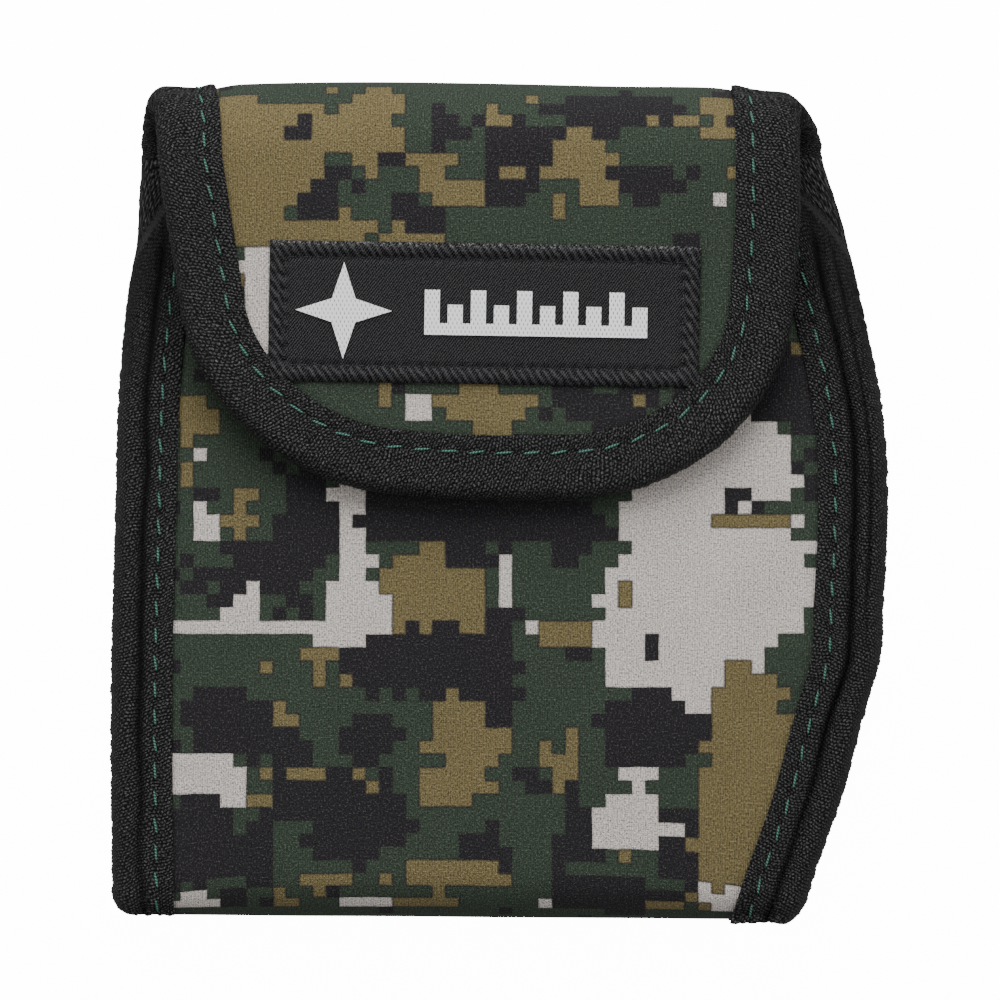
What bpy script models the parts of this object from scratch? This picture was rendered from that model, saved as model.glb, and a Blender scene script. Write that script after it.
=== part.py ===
"""A soft flap pouch for a hand-held field instrument, lying on its back.

One long strip of foam laminate makes the whole pouch: it starts at the mouth, runs down the
front, turns round the bottom fold, climbs the back, bends over the top fold and ends as the
flap. Binding tape closes both side seams and edges the flap, and hook and loop patches hold
the flap shut. +X is across the pouch, +Y points to the top fold, and +Z points from the back
to the front. The origin lies under the middle of the pouch, in the plane it rests on.
"""

import math

import bmesh
import bpy
from mathutils import Vector
from mathutils.geometry import interpolate_bezier

MM = 0.001

# Driving dimensions.
HALF_LENGTH = 75.0 * MM  # from the origin to the bottom fold, and to the top fold
FRONT_TOP = 17.4 * MM  # height of the front's outer face at its middle
FLAP_TOP = 24.1 * MM  # height of the flap's outer face over the middle of the front
FLAP_RISE = 1.6 * MM  # how much higher the sheet stands where it turns over the top fold

# The laminate: (layer, outer depth, thickness), with a thin glue line left as a gap.
LAYERS = (
    ("face_fabric", 0.0 * MM, 0.6 * MM),
    ("foam", 0.9 * MM, 1.8 * MM),
    ("lining", 3.0 * MM, 0.6 * MM),
)
LAYER_FINISH = {"face_fabric": "camo_knit", "foam": "foam_rubber", "lining": "lining_knit"}
SHEET = 3.6 * MM  # all three layers
GAP = 0.3 * MM  # between pieces that touch
TAPE = 0.7 * MM  # thickness of the binding tape
PROUD = GAP + TAPE  # how far the tape stands off the sheet
EDGE = 1.4 * MM  # from the taped edge in to the laminate's
THREAD_RADIUS = 0.25 * MM
THREAD_LIFT = PROUD + GAP / 2 + THREAD_RADIUS  # a seam's thread lies on the tape

# Side edges of the body, tape included, as (y, x) in millimetres.
LEFT_EDGE = ((-75, -69.8), (-36, -70.0), (0, -69.3), (36, -67.2), (62, -64.6))
RIGHT_EDGE = (
    (-75, 54.4), (-54, 61.6), (-36, 66.8), (-20, 69.2),
    (0, 70.0), (20, 68.6), (40, 64.6), (62, 58.4),
)  # fmt: skip

BODY_TAPE = 11.0 * MM  # how far the side tape reaches in from the edge
MARGIN = BODY_TAPE - EDGE  # how much of the laminate it covers
FLAP_TAPE = 11.6 * MM  # the same on the flap
STITCH_INSET = 3.1 * MM  # from the tape's inner edge to its seam

EDGE_LIFT = 4.0 * MM  # how far the side seams curl up off the table
LIFT_STARTS = 0.55  # share of the half width where that curl starts
CURL_FADES = (5.0 * MM, 68.0 * MM)  # the curl fades out on the way to the top fold
RISE_STARTS = 15.0 * MM  # where the sheet starts to rise towards it
SEAM_GAP = 0.4 * MM  # between the two linings in a side seam
BULGE = 2.6  # exponent of the front's cushion shape across the pouch
BULGE_END = 0.9

COLUMNS = 14  # of the body's grid, across the pouch
UNTAPED = 1 - 4 / COLUMNS  # share of those columns between the side tapes

MOUTH = 56.0 * MM  # the front's top edge, at the middle
SLANT_STARTS = 30.0 * MM  # from here the tape's sections slant, to run along those corners
TAPE_DROP = 3.4 * MM  # the side tape's way down from the front's corner to the back
MOUTH_DIP = 11.0 * MM  # how much lower its corners are, in the side seams
SEAM_ENDS = -72.5 * MM  # cut ends of the side tape
SEAM_TOP = 50.0 * MM  # where its seam passes under the mouth's corner

# The top fold is a half turn round a line along X.
FOLD_RADIUS = FLAP_TOP / 2
FOLD_Y = HALF_LENGTH - FOLD_RADIUS - PROUD
FOLD_Z = FLAP_RISE + FOLD_RADIUS
HINGES = {"lower_bend": 30, "middle_bend": 90, "upper_bend": 150}  # degrees round the fold
HINGE_ANGLES = tuple(HINGES.values())
BEND_DEPTH = 0.9 * MM  # the knit face hardly stretches, so the sheet bends about its underside
CARRIED = {  # what each hinge carries, by how the pieces' names start
    "fold_lower": "lower_bend",
    "fold_upper": "middle_bend",
    "flap": "upper_bend",
    "hook": "upper_bend",
    "label": "upper_bend",
}
BEND = 60  # degrees that each hinge straightens, when the flap is laid right back
FLAP_SIDES = (-60.6 * MM, 53.2 * MM)  # the flap's left and right edge at the fold

# Flap outline from its left root to its right root: (point, handle out, handle in, point).
FLAP_BENDS = (
    ((-60.6, 62.0), (-59.6, 52.0), (-58.2, 44.0), (-56.8, 34.0)),
    ((-56.8, 34.0), (-54.6, 18.4), (-39.0, 3.4), (-20.0, 1.3)),
    ((-20.0, 1.3), (-9.0, 0.1), (1.0, -0.1), (12.0, 0.2)),
    ((12.0, 0.2), (35.5, 0.8), (50.9, 16.8), (52.5, 33.5)),
    ((52.5, 33.5), (53.5, 43.0), (53.7, 52.0), (53.2, 62.0)),
)
FLAP_ARCH = 2.4 * MM  # how much lower the flap's sides are than its middle
FLAP_DROOP = 1.2 * MM  # and its lower edge
DROOP_STARTS = 16 * MM
FLAP_HALF_WIDTH = 58.0 * MM
FLAP_MIDDLE = -3.0 * MM

LABEL_SIZE = (73.0 * MM, 22.8 * MM)
LABEL_PLACE = (-1.0 * MM, 34.2 * MM)
LABEL_TURN = math.radians(-1.0)
LABEL_THICKNESS = 0.6 * MM
MARK_THICKNESS = 0.3 * MM
STAR_PLACE = (-23.0 * MM, 0.5 * MM)
STAR_RADII = (7.4 * MM, 2.4 * MM)
SCALE_START = (-11.0 * MM, -3.4 * MM)
SCALE_TICKS = 10
TICK_PITCH = 4.3 * MM
TICK_WIDTH = 2.1 * MM
TICK_HEIGHTS = (7.0 * MM, 4.6 * MM)
SCALE_BASE = 1.7 * MM

PATCH_SIZE = (46.0 * MM, 18.0 * MM)
PATCH_PLACE = (-2.5 * MM, 26.0 * MM)
PATCH_THICKNESS = 1.1 * MM

# name: (red, green, blue), roughness, metallic
FINISHES = {
    "camo_knit": ((0.045, 0.07, 0.045), 0.85, 0.0),
    "foam_rubber": ((0.02, 0.02, 0.02), 0.9, 0.0),
    "lining_knit": ((0.025, 0.025, 0.028), 0.9, 0.0),
    "binding_tape": ((0.015, 0.015, 0.016), 0.75, 0.0),
    "green_thread": ((0.05, 0.2, 0.15), 0.5, 0.0),
    "black_thread": ((0.012, 0.012, 0.012), 0.6, 0.0),
    "label_satin": ((0.018, 0.018, 0.02), 0.55, 0.0),
    "mark_weave": ((0.85, 0.85, 0.85), 0.7, 0.0),
    "hook_tape": ((0.02, 0.02, 0.02), 0.6, 0.0),
    "loop_tape": ((0.02, 0.02, 0.02), 0.95, 0.0),
}


# ---------------------------------------------------------------- shape of the sheet


def ramp(t):
    """0 below 0, 1 above 1, smooth between."""
    t = min(1.0, max(0.0, t))
    return t * t * (3 - 2 * t)


def through(points, t):
    """A smooth curve through (position, value) points given in millimetres, read at t metres."""
    t = min(max(t / MM, points[0][0]), points[-1][0])
    slopes = []
    for i in range(len(points)):
        before, after = points[max(i - 1, 0)], points[min(i + 1, len(points) - 1)]
        slopes.append((after[1] - before[1]) / (after[0] - before[0]))
    for (a, low), (b, high), rise, fall in zip(points, points[1:], slopes, slopes[1:]):
        if t <= b:
            break
    s, width = (t - a) / (b - a), b - a
    start = (1 + 2 * s) * (1 - s) ** 2 * low + s * (1 - s) ** 2 * width * rise
    end = s * s * (3 - 2 * s) * high + s * s * (s - 1) * width * fall
    return (start + end) * MM


def left_edge(y):
    return through(LEFT_EDGE, y)


def right_edge(y):
    return through(RIGHT_EDGE, y)


def across(x, y):
    """0 on the pouch's middle line, 1 at either side edge of the laminate."""
    middle = (left_edge(y) + right_edge(y)) / 2
    half = (right_edge(y) - left_edge(y)) / 2 - EDGE
    return min(1.0, abs(x - middle) / half)


def rise(y):
    """How far the sheet has risen at y, on its way to the top fold."""
    return FLAP_RISE * ramp((y - RISE_STARTS) / (FOLD_Y - RISE_STARTS))


def curl(y):
    """How far the side seams stand off the table at y: it fades out towards the top fold."""
    low, high = CURL_FADES
    return EDGE_LIFT * ramp((high - y) / (high - low))


def back_height(x, y):
    """The back's outer face: flat on the table, curling up at the sides and rising to the fold."""
    side = max(0.0, (across(x, y) - LIFT_STARTS) / (1 - LIFT_STARTS))
    return curl(y) * side**2 + rise(y)


def front_height(x, y):
    """The front's outer face: pinched onto the back at the sides, cushioned in the middle."""
    seam = curl(y) + rise(y) + 2 * SHEET + SEAM_GAP
    bulge = (1 - across(x, y) ** BULGE) ** BULGE_END
    return seam + (FRONT_TOP - seam) * bulge


def mouth_edge(distance):
    """y of the front's top edge, whose corners are cut off straight inside the side tape:
    distance is measured in from the taped side edge."""
    return MOUTH - MOUTH_DIP * (1 - distance / BODY_TAPE)


def flap_height(x, y):
    """The flap's outer face when it is shut."""
    side = (x - FLAP_MIDDLE) / FLAP_HALF_WIDTH
    arch = FLAP_ARCH * side**2 * ramp((FOLD_Y - y) / (25 * MM))
    return FLAP_TOP + rise(y) - arch - FLAP_DROOP * ramp(1 - y / DROOP_STARTS)


def fold_point(x, angle, lift):
    """A point of the top fold. angle is 0 at the back and 180 degrees at the flap."""
    turn = math.radians(angle)
    radius = FOLD_RADIUS + lift
    return Vector((x, FOLD_Y + radius * math.sin(turn), FOLD_Z - radius * math.cos(turn)))


def fold_edges(angle):
    """Left and right edge of the strip, tape included, part of the way round the top fold."""
    share = ramp((angle - HINGE_ANGLES[0]) / (HINGE_ANGLES[-1] - HINGE_ANGLES[0]))
    low = (left_edge(FOLD_Y), right_edge(FOLD_Y))
    return tuple(a + (b - a) * share for a, b in zip(low, FLAP_SIDES))


def flap_point(x, y, lift):
    """A point on or off the flap. Past FOLD_Y it goes on round the top fold."""
    if y <= FOLD_Y:
        return Vector((x, y, flap_height(x, y) + lift))
    return fold_point(x, 180 - math.degrees((y - FOLD_Y) / FOLD_RADIUS), lift)


def hinge_room(lift):
    """Degrees that a layer stands back from a hinge, so that its outer side, lift off the
    sheet's outer face, is still free when the fold is laid straight."""
    radius = FOLD_RADIUS + lift
    over = max(0.0, lift + BEND_DEPTH)
    return math.degrees((over * math.tan(math.radians(BEND / 2)) + GAP / 2) / radius)


def body_point(a, s, depth, room):
    """A point of the body's strip, depth in from its outer face. a runs from -1 to 1 across the
    strip: its last tenth on each side lies under the tape. s runs from 0 at the mouth, by 1 and 2
    round the bottom fold and 3 at the top fold, to 4 at room degrees from the first hinge."""
    taped = max(0.0, (abs(a) - UNTAPED) / (1 - UNTAPED))

    def x_at(y):
        half = (right_edge(y) - left_edge(y)) / 2 - EDGE
        reach = (half - MARGIN) * min(1.0, abs(a) / UNTAPED) + MARGIN * taped
        return (left_edge(y) + right_edge(y)) / 2 + math.copysign(reach, a)

    def half_thickness(y):
        return (front_height(x_at(y), y) - back_height(x_at(y), y)) / 2

    centre = -HALF_LENGTH + half_thickness(-HALF_LENGTH + 5 * MM)
    radius = half_thickness(centre)
    middle = (front_height(x_at(centre), centre) + back_height(x_at(centre), centre)) / 2
    if s <= 1:
        top = mouth_edge(BODY_TAPE - MARGIN * taped)
        y = top + (centre - top) * s
        return Vector((x_at(y), y, front_height(x_at(y), y) - depth))
    if s <= 2:
        turn = math.pi * (s - 1)
        y = centre - (radius - depth) * math.sin(turn)
        return Vector((x_at(y), y, middle + (radius - depth) * math.cos(turn)))
    if s <= 3:
        y = centre + (FOLD_Y - centre) * (s - 2)
        return Vector((x_at(y), y, back_height(x_at(y), y) + depth))
    return fold_point(x_at(FOLD_Y), (s - 3) * (HINGE_ANGLES[0] - room), -depth)


def flap_outline(inset, pieces=5):
    """The flap's outline, inset from its taped edge, as 2D points from its left root to its
    right root, with the direction that points into the flap at each."""
    line = []
    for bend in FLAP_BENDS:
        knot, out, into, end = (Vector((x * MM, y * MM)) for x, y in bend)
        line += interpolate_bezier(knot, out, into, end, pieces + 1)[:-1]
    line.append(end)
    result = []
    for i, point in enumerate(line):
        ahead = (line[min(i + 1, len(line) - 1)] - line[max(i - 1, 0)]).normalized()
        inward = Vector((-ahead.y, ahead.x))
        result.append((point.xy + inward * inset, inward))
    return result


# ---------------------------------------------------------------- modelling tools


def collection(name):
    made = bpy.data.collections.new(name)
    bpy.context.scene.collection.children.link(made)
    return made


def finish_of(name):
    """The named material, made the first time that it is asked for."""
    if name in bpy.data.materials:
        return bpy.data.materials[name]
    colour, roughness, metallic = FINISHES[name]
    made = bpy.data.materials.new(name)
    made.use_nodes = True
    shader = made.node_tree.nodes["Principled BSDF"]
    shader.inputs["Base Color"].default_value = (*colour, 1)
    shader.inputs["Roughness"].default_value = roughness
    shader.inputs["Metallic"].default_value = metallic
    return made


def add_piece(name, data, finish):
    """Puts a mesh or curve in the pouch's collection, with its material and on its hinge."""
    obj = bpy.data.objects.new(name, data)
    pouch.objects.link(obj)
    data.materials.append(finish_of(finish))
    for start, hinge in CARRIED.items():
        if name.startswith(start):
            obj.parent = hinges[hinge]
            obj.matrix_parent_inverse = obj.parent.matrix_world.inverted()
    return obj


def sheet(name, columns, rows, place, thickness, finish):
    """A curved sheet: a grid laid where place(a, b) says, a and b from 0 to 1, then thickened
    to both sides of that middle surface."""
    mesh = bpy.data.meshes.new(name)
    form = bmesh.new()
    bmesh.ops.create_grid(form, x_segments=columns, y_segments=rows, size=0.5)
    for vertex in form.verts:
        vertex.co = place(vertex.co.x + 0.5, vertex.co.y + 0.5)
    form.to_mesh(mesh)
    form.free()
    mesh.shade_smooth()
    mesh.set_sharp_from_angle(angle=math.radians(40))
    obj = add_piece(name, mesh, finish)
    solid = obj.modifiers.new("thickness", "SOLIDIFY")
    solid.thickness = thickness
    solid.offset = 0
    return obj


def cut_to(obj, outline):
    """Keeps only what lies inside a 2D outline, seen from above."""
    mesh = bpy.data.meshes.new(obj.name + "_cutter")
    form = bmesh.new()
    bottom = form.faces.new([form.verts.new((p.x, p.y, 0)) for p in outline])
    grown = bmesh.ops.extrude_face_region(form, geom=[bottom])
    raised = [v for v in grown["geom"] if isinstance(v, bmesh.types.BMVert)]
    bmesh.ops.translate(form, vec=(0, 0, 2 * FLAP_TOP), verts=raised)
    bmesh.ops.recalc_face_normals(form, faces=form.faces)
    form.to_mesh(mesh)
    form.free()
    cutter = bpy.data.objects.new(mesh.name, mesh)
    cutters.objects.link(cutter)
    cutter.hide_render = True
    cutter.display_type = "WIRE"
    cut = obj.modifiers.new("outline", "BOOLEAN")
    cut.operation = "INTERSECT"
    cut.object = cutter
    split = obj.modifiers.new("triangles", "TRIANGULATE")
    split.quad_method = "BEAUTY"
    split.ngon_method = "BEAUTY"


def loft(name, rings, finish):
    """A solid drawn from ring to ring: the first ring is extruded onto each next one."""
    mesh = bpy.data.meshes.new(name)
    form = bmesh.new()
    corners = [form.verts.new(p) for p in rings[0]]
    edges = [form.edges.new((a, b)) for a, b in zip(corners, corners[1:] + corners[:1])]
    for ring in rings[1:]:
        grown = bmesh.ops.extrude_edge_only(form, edges=edges)["geom"]
        at = {tuple(v.co): v for v in grown if isinstance(v, bmesh.types.BMVert)}
        corners = [at[tuple(v.co)] for v in corners]
        edges = [e for e in grown if isinstance(e, bmesh.types.BMEdge)]
        for vertex, place in zip(corners, ring):
            vertex.co = place
    caps = bmesh.ops.holes_fill(form, edges=[e for e in form.edges if e.is_boundary])["faces"]
    bmesh.ops.triangulate(form, faces=caps, quad_method="BEAUTY", ngon_method="BEAUTY")
    bmesh.ops.recalc_face_normals(form, faces=form.faces)
    form.to_mesh(mesh)
    form.free()
    mesh.shade_smooth()
    mesh.set_sharp_from_angle(angle=math.radians(40))
    return add_piece(name, mesh, finish)


def tape_ring(place, reach):
    """The section of a tape folded over an edge. place(distance, side, lift) gives the point at
    that distance in from the taped edge, lift off the sheet on its outer (1) or inner (-1) side."""
    half = (reach + EDGE) / 2
    outside = ((reach, PROUD), (half, PROUD), (1.6 * MM, PROUD), (0.4 * MM, 0.4 * MM))
    inside = ((TAPE, GAP), (half, GAP), (reach, GAP))
    ring = [place(distance, 1, lift) for distance, lift in outside]
    ring += [place(0, 1, -1.0 * MM), place(0, -1, -1.0 * MM)]
    ring += [place(distance, -1, lift) for distance, lift in reversed(outside)]
    ring += [place(distance, -1, lift) for distance, lift in reversed(inside)]
    ring += [place(distance, 1, lift) for distance, lift in inside]
    return ring


def thread(name, points, finish, closed=False):
    """A sewing thread that runs through points, as a thin round tube."""
    curve = bpy.data.curves.new(name, "CURVE")
    curve.dimensions = "3D"
    curve.bevel_depth = THREAD_RADIUS
    curve.bevel_resolution = 0
    curve.use_fill_caps = not closed
    line = curve.splines.new("POLY")
    line.points.add(len(points) - 1)
    for knot, place in zip(line.points, points):
        knot.co = (*place, 1)
    line.use_cyclic_u = closed
    return add_piece(name, curve, finish)


def spread(low, high, count):
    """count values from low to high."""
    return [low + (high - low) * i / (count - 1) for i in range(count)]


# ---------------------------------------------------------------- body


def make_body_layers():
    """The three layers of the body's strip, from the mouth to the first bend of the top fold."""
    rows = (9, 6, 7, 2)  # front, bottom fold, back, start of the top fold
    steps = [part + i / count for part, count in enumerate(rows) for i in range(count)] + [4]
    for layer, depth, thickness in LAYERS:
        middle = depth + thickness / 2
        room = hinge_room(-depth)

        def place(a, b, middle=middle, room=room):
            return body_point(2 * a - 1, steps[round(b * (len(steps) - 1))], middle, room)

        sheet("body_" + layer, COLUMNS, len(steps) - 1, place, thickness, LAYER_FINISH[layer])


def side_place(side_sign, station):
    """place() for tape_ring on a side seam. side_sign is 1 on the left, where inwards is +X, and
    station is the y of the section's inner end. Past the mouth the tape holds the back alone."""
    dropped = MOUTH + GAP + TAPE_DROP
    if station < MOUTH:
        slant = max(0.0, (station - SLANT_STARTS) / (MOUTH - SLANT_STARTS))
    else:
        slant = min(1.0, (FOLD_Y - station) / (FOLD_Y - dropped))
    alone = ramp((station - MOUTH - GAP) / TAPE_DROP)

    def place(distance, side, lift):
        y = station - (MOUTH - mouth_edge(distance)) * slant
        x = side_sign * distance + (left_edge(y) if side_sign > 0 else right_edge(y))
        if side < 0:
            return Vector((x, y, back_height(x, y) - lift))
        both, back = front_height(x, y), back_height(x, y) + SHEET
        return Vector((x, y, both + (back - both) * alone + lift))

    return place


def fold_place(side_sign, angle):
    """place() for tape_ring part of the way round the top fold."""
    edge = fold_edges(angle)[0 if side_sign > 0 else 1]

    def place(distance, side, lift):
        height = lift if side < 0 else -SHEET - lift
        return fold_point(edge + side_sign * distance, angle, height)

    return place


def seam_stations():
    """The sections along a side seam: even, with more round the mouth's corner."""
    below = spread(SEAM_ENDS, SLANT_STARTS, 12)[:-1] + spread(SLANT_STARTS, MOUTH + GAP, 5)
    return below + spread(MOUTH + 2 * GAP, MOUTH + GAP + TAPE_DROP, 5) + [FOLD_Y]


def make_side_bindings():
    first_bend = HINGE_ANGLES[0] - hinge_room(PROUD)
    for side, sign in (("left", 1), ("right", -1)):
        places = [side_place(sign, station) for station in seam_stations()]
        places += [fold_place(sign, angle) for angle in (first_bend / 2, first_bend)]
        loft(
            side + "_side_binding",
            [tape_ring(place, BODY_TAPE) for place in places],
            "binding_tape",
        )


def make_side_threads():
    """The lockstitch through each side tape: its needle thread shows on the front, as far as
    the mouth's corner, and its bobbin thread on the back."""
    reach = BODY_TAPE - STITCH_INSET
    for side, sign in (("left", 1), ("right", -1)):
        places = [side_place(sign, y) for y in spread(SEAM_ENDS + 1 * MM, SEAM_TOP, 16)]
        for name, face in (("_seam_needle_thread", 1), ("_seam_bobbin_thread", -1)):
            line = [place(reach, face, THREAD_LIFT) for place in places]
            thread(side + name, line, "green_thread")


def mouth_place(x):
    """place() for tape_ring over the front's top edge."""

    def place(distance, side, lift):
        y = MOUTH + PROUD - distance
        height = front_height(x, y)
        return Vector((x, y, height + lift if side > 0 else height - SHEET - lift))

    return place


def make_mouth_binding():
    clear = BODY_TAPE + 1 * MM
    stations = spread(left_edge(MOUTH) + clear, right_edge(MOUTH) - clear, 11)
    places = [mouth_place(x) for x in stations]
    loft("mouth_binding", [tape_ring(place, BODY_TAPE) for place in places], "binding_tape")
    reach = BODY_TAPE - STITCH_INSET
    for name, face in (("mouth_needle_thread", 1), ("mouth_bobbin_thread", -1)):
        thread(name, [place(reach, face, THREAD_LIFT) for place in places], "green_thread")


# ---------------------------------------------------------------- hook and loop patches


def patch_frame(a, b, margin=0.0):
    """Point of the patches' rectangle, a and b from 0 to 1, drawn in by margin."""
    x = PATCH_PLACE[0] + (a - 0.5) * (PATCH_SIZE[0] - 2 * margin)
    return x, PATCH_PLACE[1] + (b - 0.5) * (PATCH_SIZE[1] - 2 * margin)


def box_line(steps):
    """Points round a unit square, as (a, b), without repeating the first."""
    run = [i / steps for i in range(steps)]
    return (
        [(t, 0) for t in run]
        + [(1, t) for t in run]
        + [(1 - t, 1) for t in run]
        + [(0, 1 - t) for t in run]
    )


def make_patches():
    """The loop patch on the front and, face to face with it, the hook patch under the flap."""
    stand_off = GAP + PATCH_THICKNESS / 2

    def on_front(a, b, lift=stand_off, margin=0.0):
        x, y = patch_frame(a, b, margin)
        return Vector((x, y, front_height(x, y) + lift))

    def under_flap(a, b, lift=stand_off, margin=0.0):
        x, y = patch_frame(a, b, margin)
        return Vector((x, y, flap_height(x, y) - SHEET - lift))

    sheet("loop_patch", 6, 2, on_front, PATCH_THICKNESS, "loop_tape")
    sheet("hook_patch", 6, 2, under_flap, PATCH_THICKNESS, "hook_tape")


def make_patch_threads():
    """The seam round each patch shows on the far side of its panel: the loop patch's inside
    the pouch, and the hook patch's beside the patch's edge under the flap."""
    lift = GAP + THREAD_RADIUS

    def inside_pouch(a, b):
        x, y = patch_frame(a, b, 2 * MM)
        return Vector((x, y, front_height(x, y) - SHEET - lift))

    def round_hooks(a, b):
        x, y = patch_frame(a, b, -0.8 * MM)
        return Vector((x, y, flap_height(x, y) - SHEET - lift))

    line = box_line(5)
    thread("loop_patch_thread", [inside_pouch(*p) for p in line], "black_thread", True)
    thread("hook_patch_thread", [round_hooks(*p) for p in line], "black_thread", True)


# ---------------------------------------------------------------- top fold


def make_fold_segments():
    """The part of the top fold between two hinges, twice: each bends as a whole."""
    for part, start, end in (
        ("fold_lower_", HINGE_ANGLES[0], HINGE_ANGLES[1]),
        ("fold_upper_", HINGE_ANGLES[1], HINGE_ANGLES[2]),
    ):
        for layer, depth, thickness in LAYERS:
            middle, room = depth + thickness / 2, hinge_room(-depth)

            def place(a, b, middle=middle, angles=(start + room, end - room)):
                angle = angles[0] + (angles[1] - angles[0]) * b
                left, right = fold_edges(angle)
                left, right = left + EDGE, right - EDGE
                return fold_point(left + (right - left) * a, angle, -middle)

            sheet(part + layer, 1, 6, place, thickness, LAYER_FINISH[layer])
        room = hinge_room(THREAD_LIFT + THREAD_RADIUS)
        angles = spread(start + room, end - room, 6)
        for side, sign in (("left", 1), ("right", -1)):
            places = [fold_place(sign, angle) for angle in angles]
            rings = [tape_ring(place, BODY_TAPE) for place in places]
            loft(part + side + "_binding", rings, "binding_tape")
            line = [place(BODY_TAPE - STITCH_INSET, -1, THREAD_LIFT) for place in places]
            thread(part + side + "_thread", line, "green_thread")


# ---------------------------------------------------------------- flap


def flap_root(lift):
    """y, measured flat, of the flap's end at the last hinge, for a layer with that lift."""
    angle = 180 - HINGE_ANGLES[-1] - hinge_room(lift)
    return FOLD_Y + math.radians(angle) * FOLD_RADIUS


def make_flap_layers():
    left, right = FLAP_SIDES[0] - 4 * MM, FLAP_SIDES[1] + 4 * MM
    outline = [point for point, _ in flap_outline(EDGE)]
    outline[0].y = outline[-1].y = FOLD_Y
    above = HALF_LENGTH
    outline += [Vector((outline[-1].x, above)), Vector((outline[0].x, above))]
    for layer, depth, thickness in LAYERS:
        middle, root = depth + thickness / 2, flap_root(-depth)
        rows = spread(-3 * MM, FOLD_Y, 9) + [(FOLD_Y + root) / 2, root]

        def place(a, b, middle=middle, rows=rows):
            y = rows[round(b * (len(rows) - 1))]
            return flap_point(left + (right - left) * a, y, -middle)

        obj = sheet("flap_" + layer, 10, len(rows) - 1, place, thickness, LAYER_FINISH[layer])
        cut_to(obj, outline)


def flap_stations():
    """Where the flap's tape is drawn: flat points with their inward directions, from the last
    bend of the fold on the left, round the flap, to that bend on the right."""
    root = flap_root(THREAD_LIFT + THREAD_RADIUS)
    round_flap = [s for s in flap_outline(0) if s[0].y < FOLD_Y - 1 * MM]
    climb = spread(FOLD_Y, root, 3)
    left = [(Vector((FLAP_SIDES[0], y)), Vector((1, 0))) for y in reversed(climb)]
    right = [(Vector((FLAP_SIDES[1], y)), Vector((-1, 0))) for y in climb]
    return left + round_flap + right


def flap_place(point, inward):
    """place() for tape_ring along the flap's edge."""

    def place(distance, side, lift):
        at = point + inward * distance
        return flap_point(at.x, at.y, lift if side > 0 else -SHEET - lift)

    return place


def make_flap_binding():
    places = [flap_place(*station) for station in flap_stations()]
    rings = [tape_ring(place, FLAP_TAPE) for place in places]
    loft("flap_binding", rings, "binding_tape")
    reach = FLAP_TAPE - STITCH_INSET
    for name, face in (("flap_needle_thread", 1), ("flap_bobbin_thread", -1)):
        thread(name, [place(reach, face, THREAD_LIFT) for place in places], "green_thread")


# ---------------------------------------------------------------- woven label


def label_spot(u, v):
    """Flap coordinates of a point given from the label's middle, along its own sides."""
    c, s = math.cos(LABEL_TURN), math.sin(LABEL_TURN)
    return LABEL_PLACE[0] + u * c - v * s, LABEL_PLACE[1] + u * s + v * c


def make_label():
    def place(a, b):
        x, y = label_spot((a - 0.5) * LABEL_SIZE[0], (b - 0.5) * LABEL_SIZE[1])
        return flap_point(x, y, GAP + LABEL_THICKNESS / 2)

    sheet("label", 10, 3, place, LABEL_THICKNESS, "label_satin")

    margin = 2.6 * MM
    lift = GAP + LABEL_THICKNESS + GAP / 2 + THREAD_RADIUS
    line = []
    for a, b in box_line(8):
        x, y = label_spot(
            (a - 0.5) * (LABEL_SIZE[0] - 2 * margin), (b - 0.5) * (LABEL_SIZE[1] - 2 * margin)
        )
        line.append(flap_point(x, y, lift))
    thread("label_thread", line, "black_thread", True)


def star_outline():
    """A four-pointed compass star, from the label's middle."""
    points = []
    for i in range(8):
        turn, radius = math.radians(45 * i), STAR_RADII[i % 2]
        points.append((STAR_PLACE[0] + radius * math.sin(turn), STAR_PLACE[1] + radius * math.cos(turn)))
    return points


def scale_outline():
    """A map's scale bar: a base line with ticks of two heights, as one outline."""
    left, low = SCALE_START
    points = []
    for i in range(SCALE_TICKS):
        x, top = left + i * TICK_PITCH, low + TICK_HEIGHTS[i % 2]
        foot = low + SCALE_BASE
        points += [(x, foot), (x, top), (x + TICK_WIDTH, top), (x + TICK_WIDTH, foot)]
    points[0], points[-1] = (left, low), (points[-1][0], low)
    return points


def make_label_marks():
    """Two generic woven marks: a compass star and a scale bar."""
    lift = GAP + LABEL_THICKNESS + GAP + MARK_THICKNESS / 2
    for name, outline in (
        ("label_compass_star", star_outline()),
        ("label_scale_bar", scale_outline()),
    ):
        edge = [Vector(label_spot(u, v)) for u, v in outline]
        low_x, high_x = min(p.x for p in edge), max(p.x for p in edge)
        low_y, high_y = min(p.y for p in edge), max(p.y for p in edge)

        def place(a, b, low_x=low_x, high_x=high_x, low_y=low_y, high_y=high_y):
            x = low_x - 1 * MM + (high_x - low_x + 2 * MM) * a
            y = low_y - 1 * MM + (high_y - low_y + 2 * MM) * b
            return flap_point(x, y, lift)

        cut_to(sheet(name, 6, 1, place, MARK_THICKNESS, "mark_weave"), edge)


def make_hinges():
    """An empty on each hinge's axis. Each one carries the next."""
    made, before = {}, None
    for name, angle in HINGES.items():
        empty = bpy.data.objects.new(name, None)
        pouch.objects.link(empty)
        empty.location = fold_point(0, angle, -BEND_DEPTH)
        if before:
            empty.parent = before
            empty.matrix_parent_inverse = before.matrix_world.inverted()
        bpy.context.view_layer.update()
        made[name] = before = empty
    return made


for old in list(bpy.data.objects):
    bpy.data.objects.remove(old)
pouch = collection("flap_pouch")
cutters = collection("cutters")
hinges = make_hinges()

make_body_layers()
make_side_bindings()
make_side_threads()
make_mouth_binding()
make_patches()
make_patch_threads()
make_fold_segments()
make_flap_layers()
make_flap_binding()
make_label()
make_label_marks()
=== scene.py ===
import math
from functools import lru_cache

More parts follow.
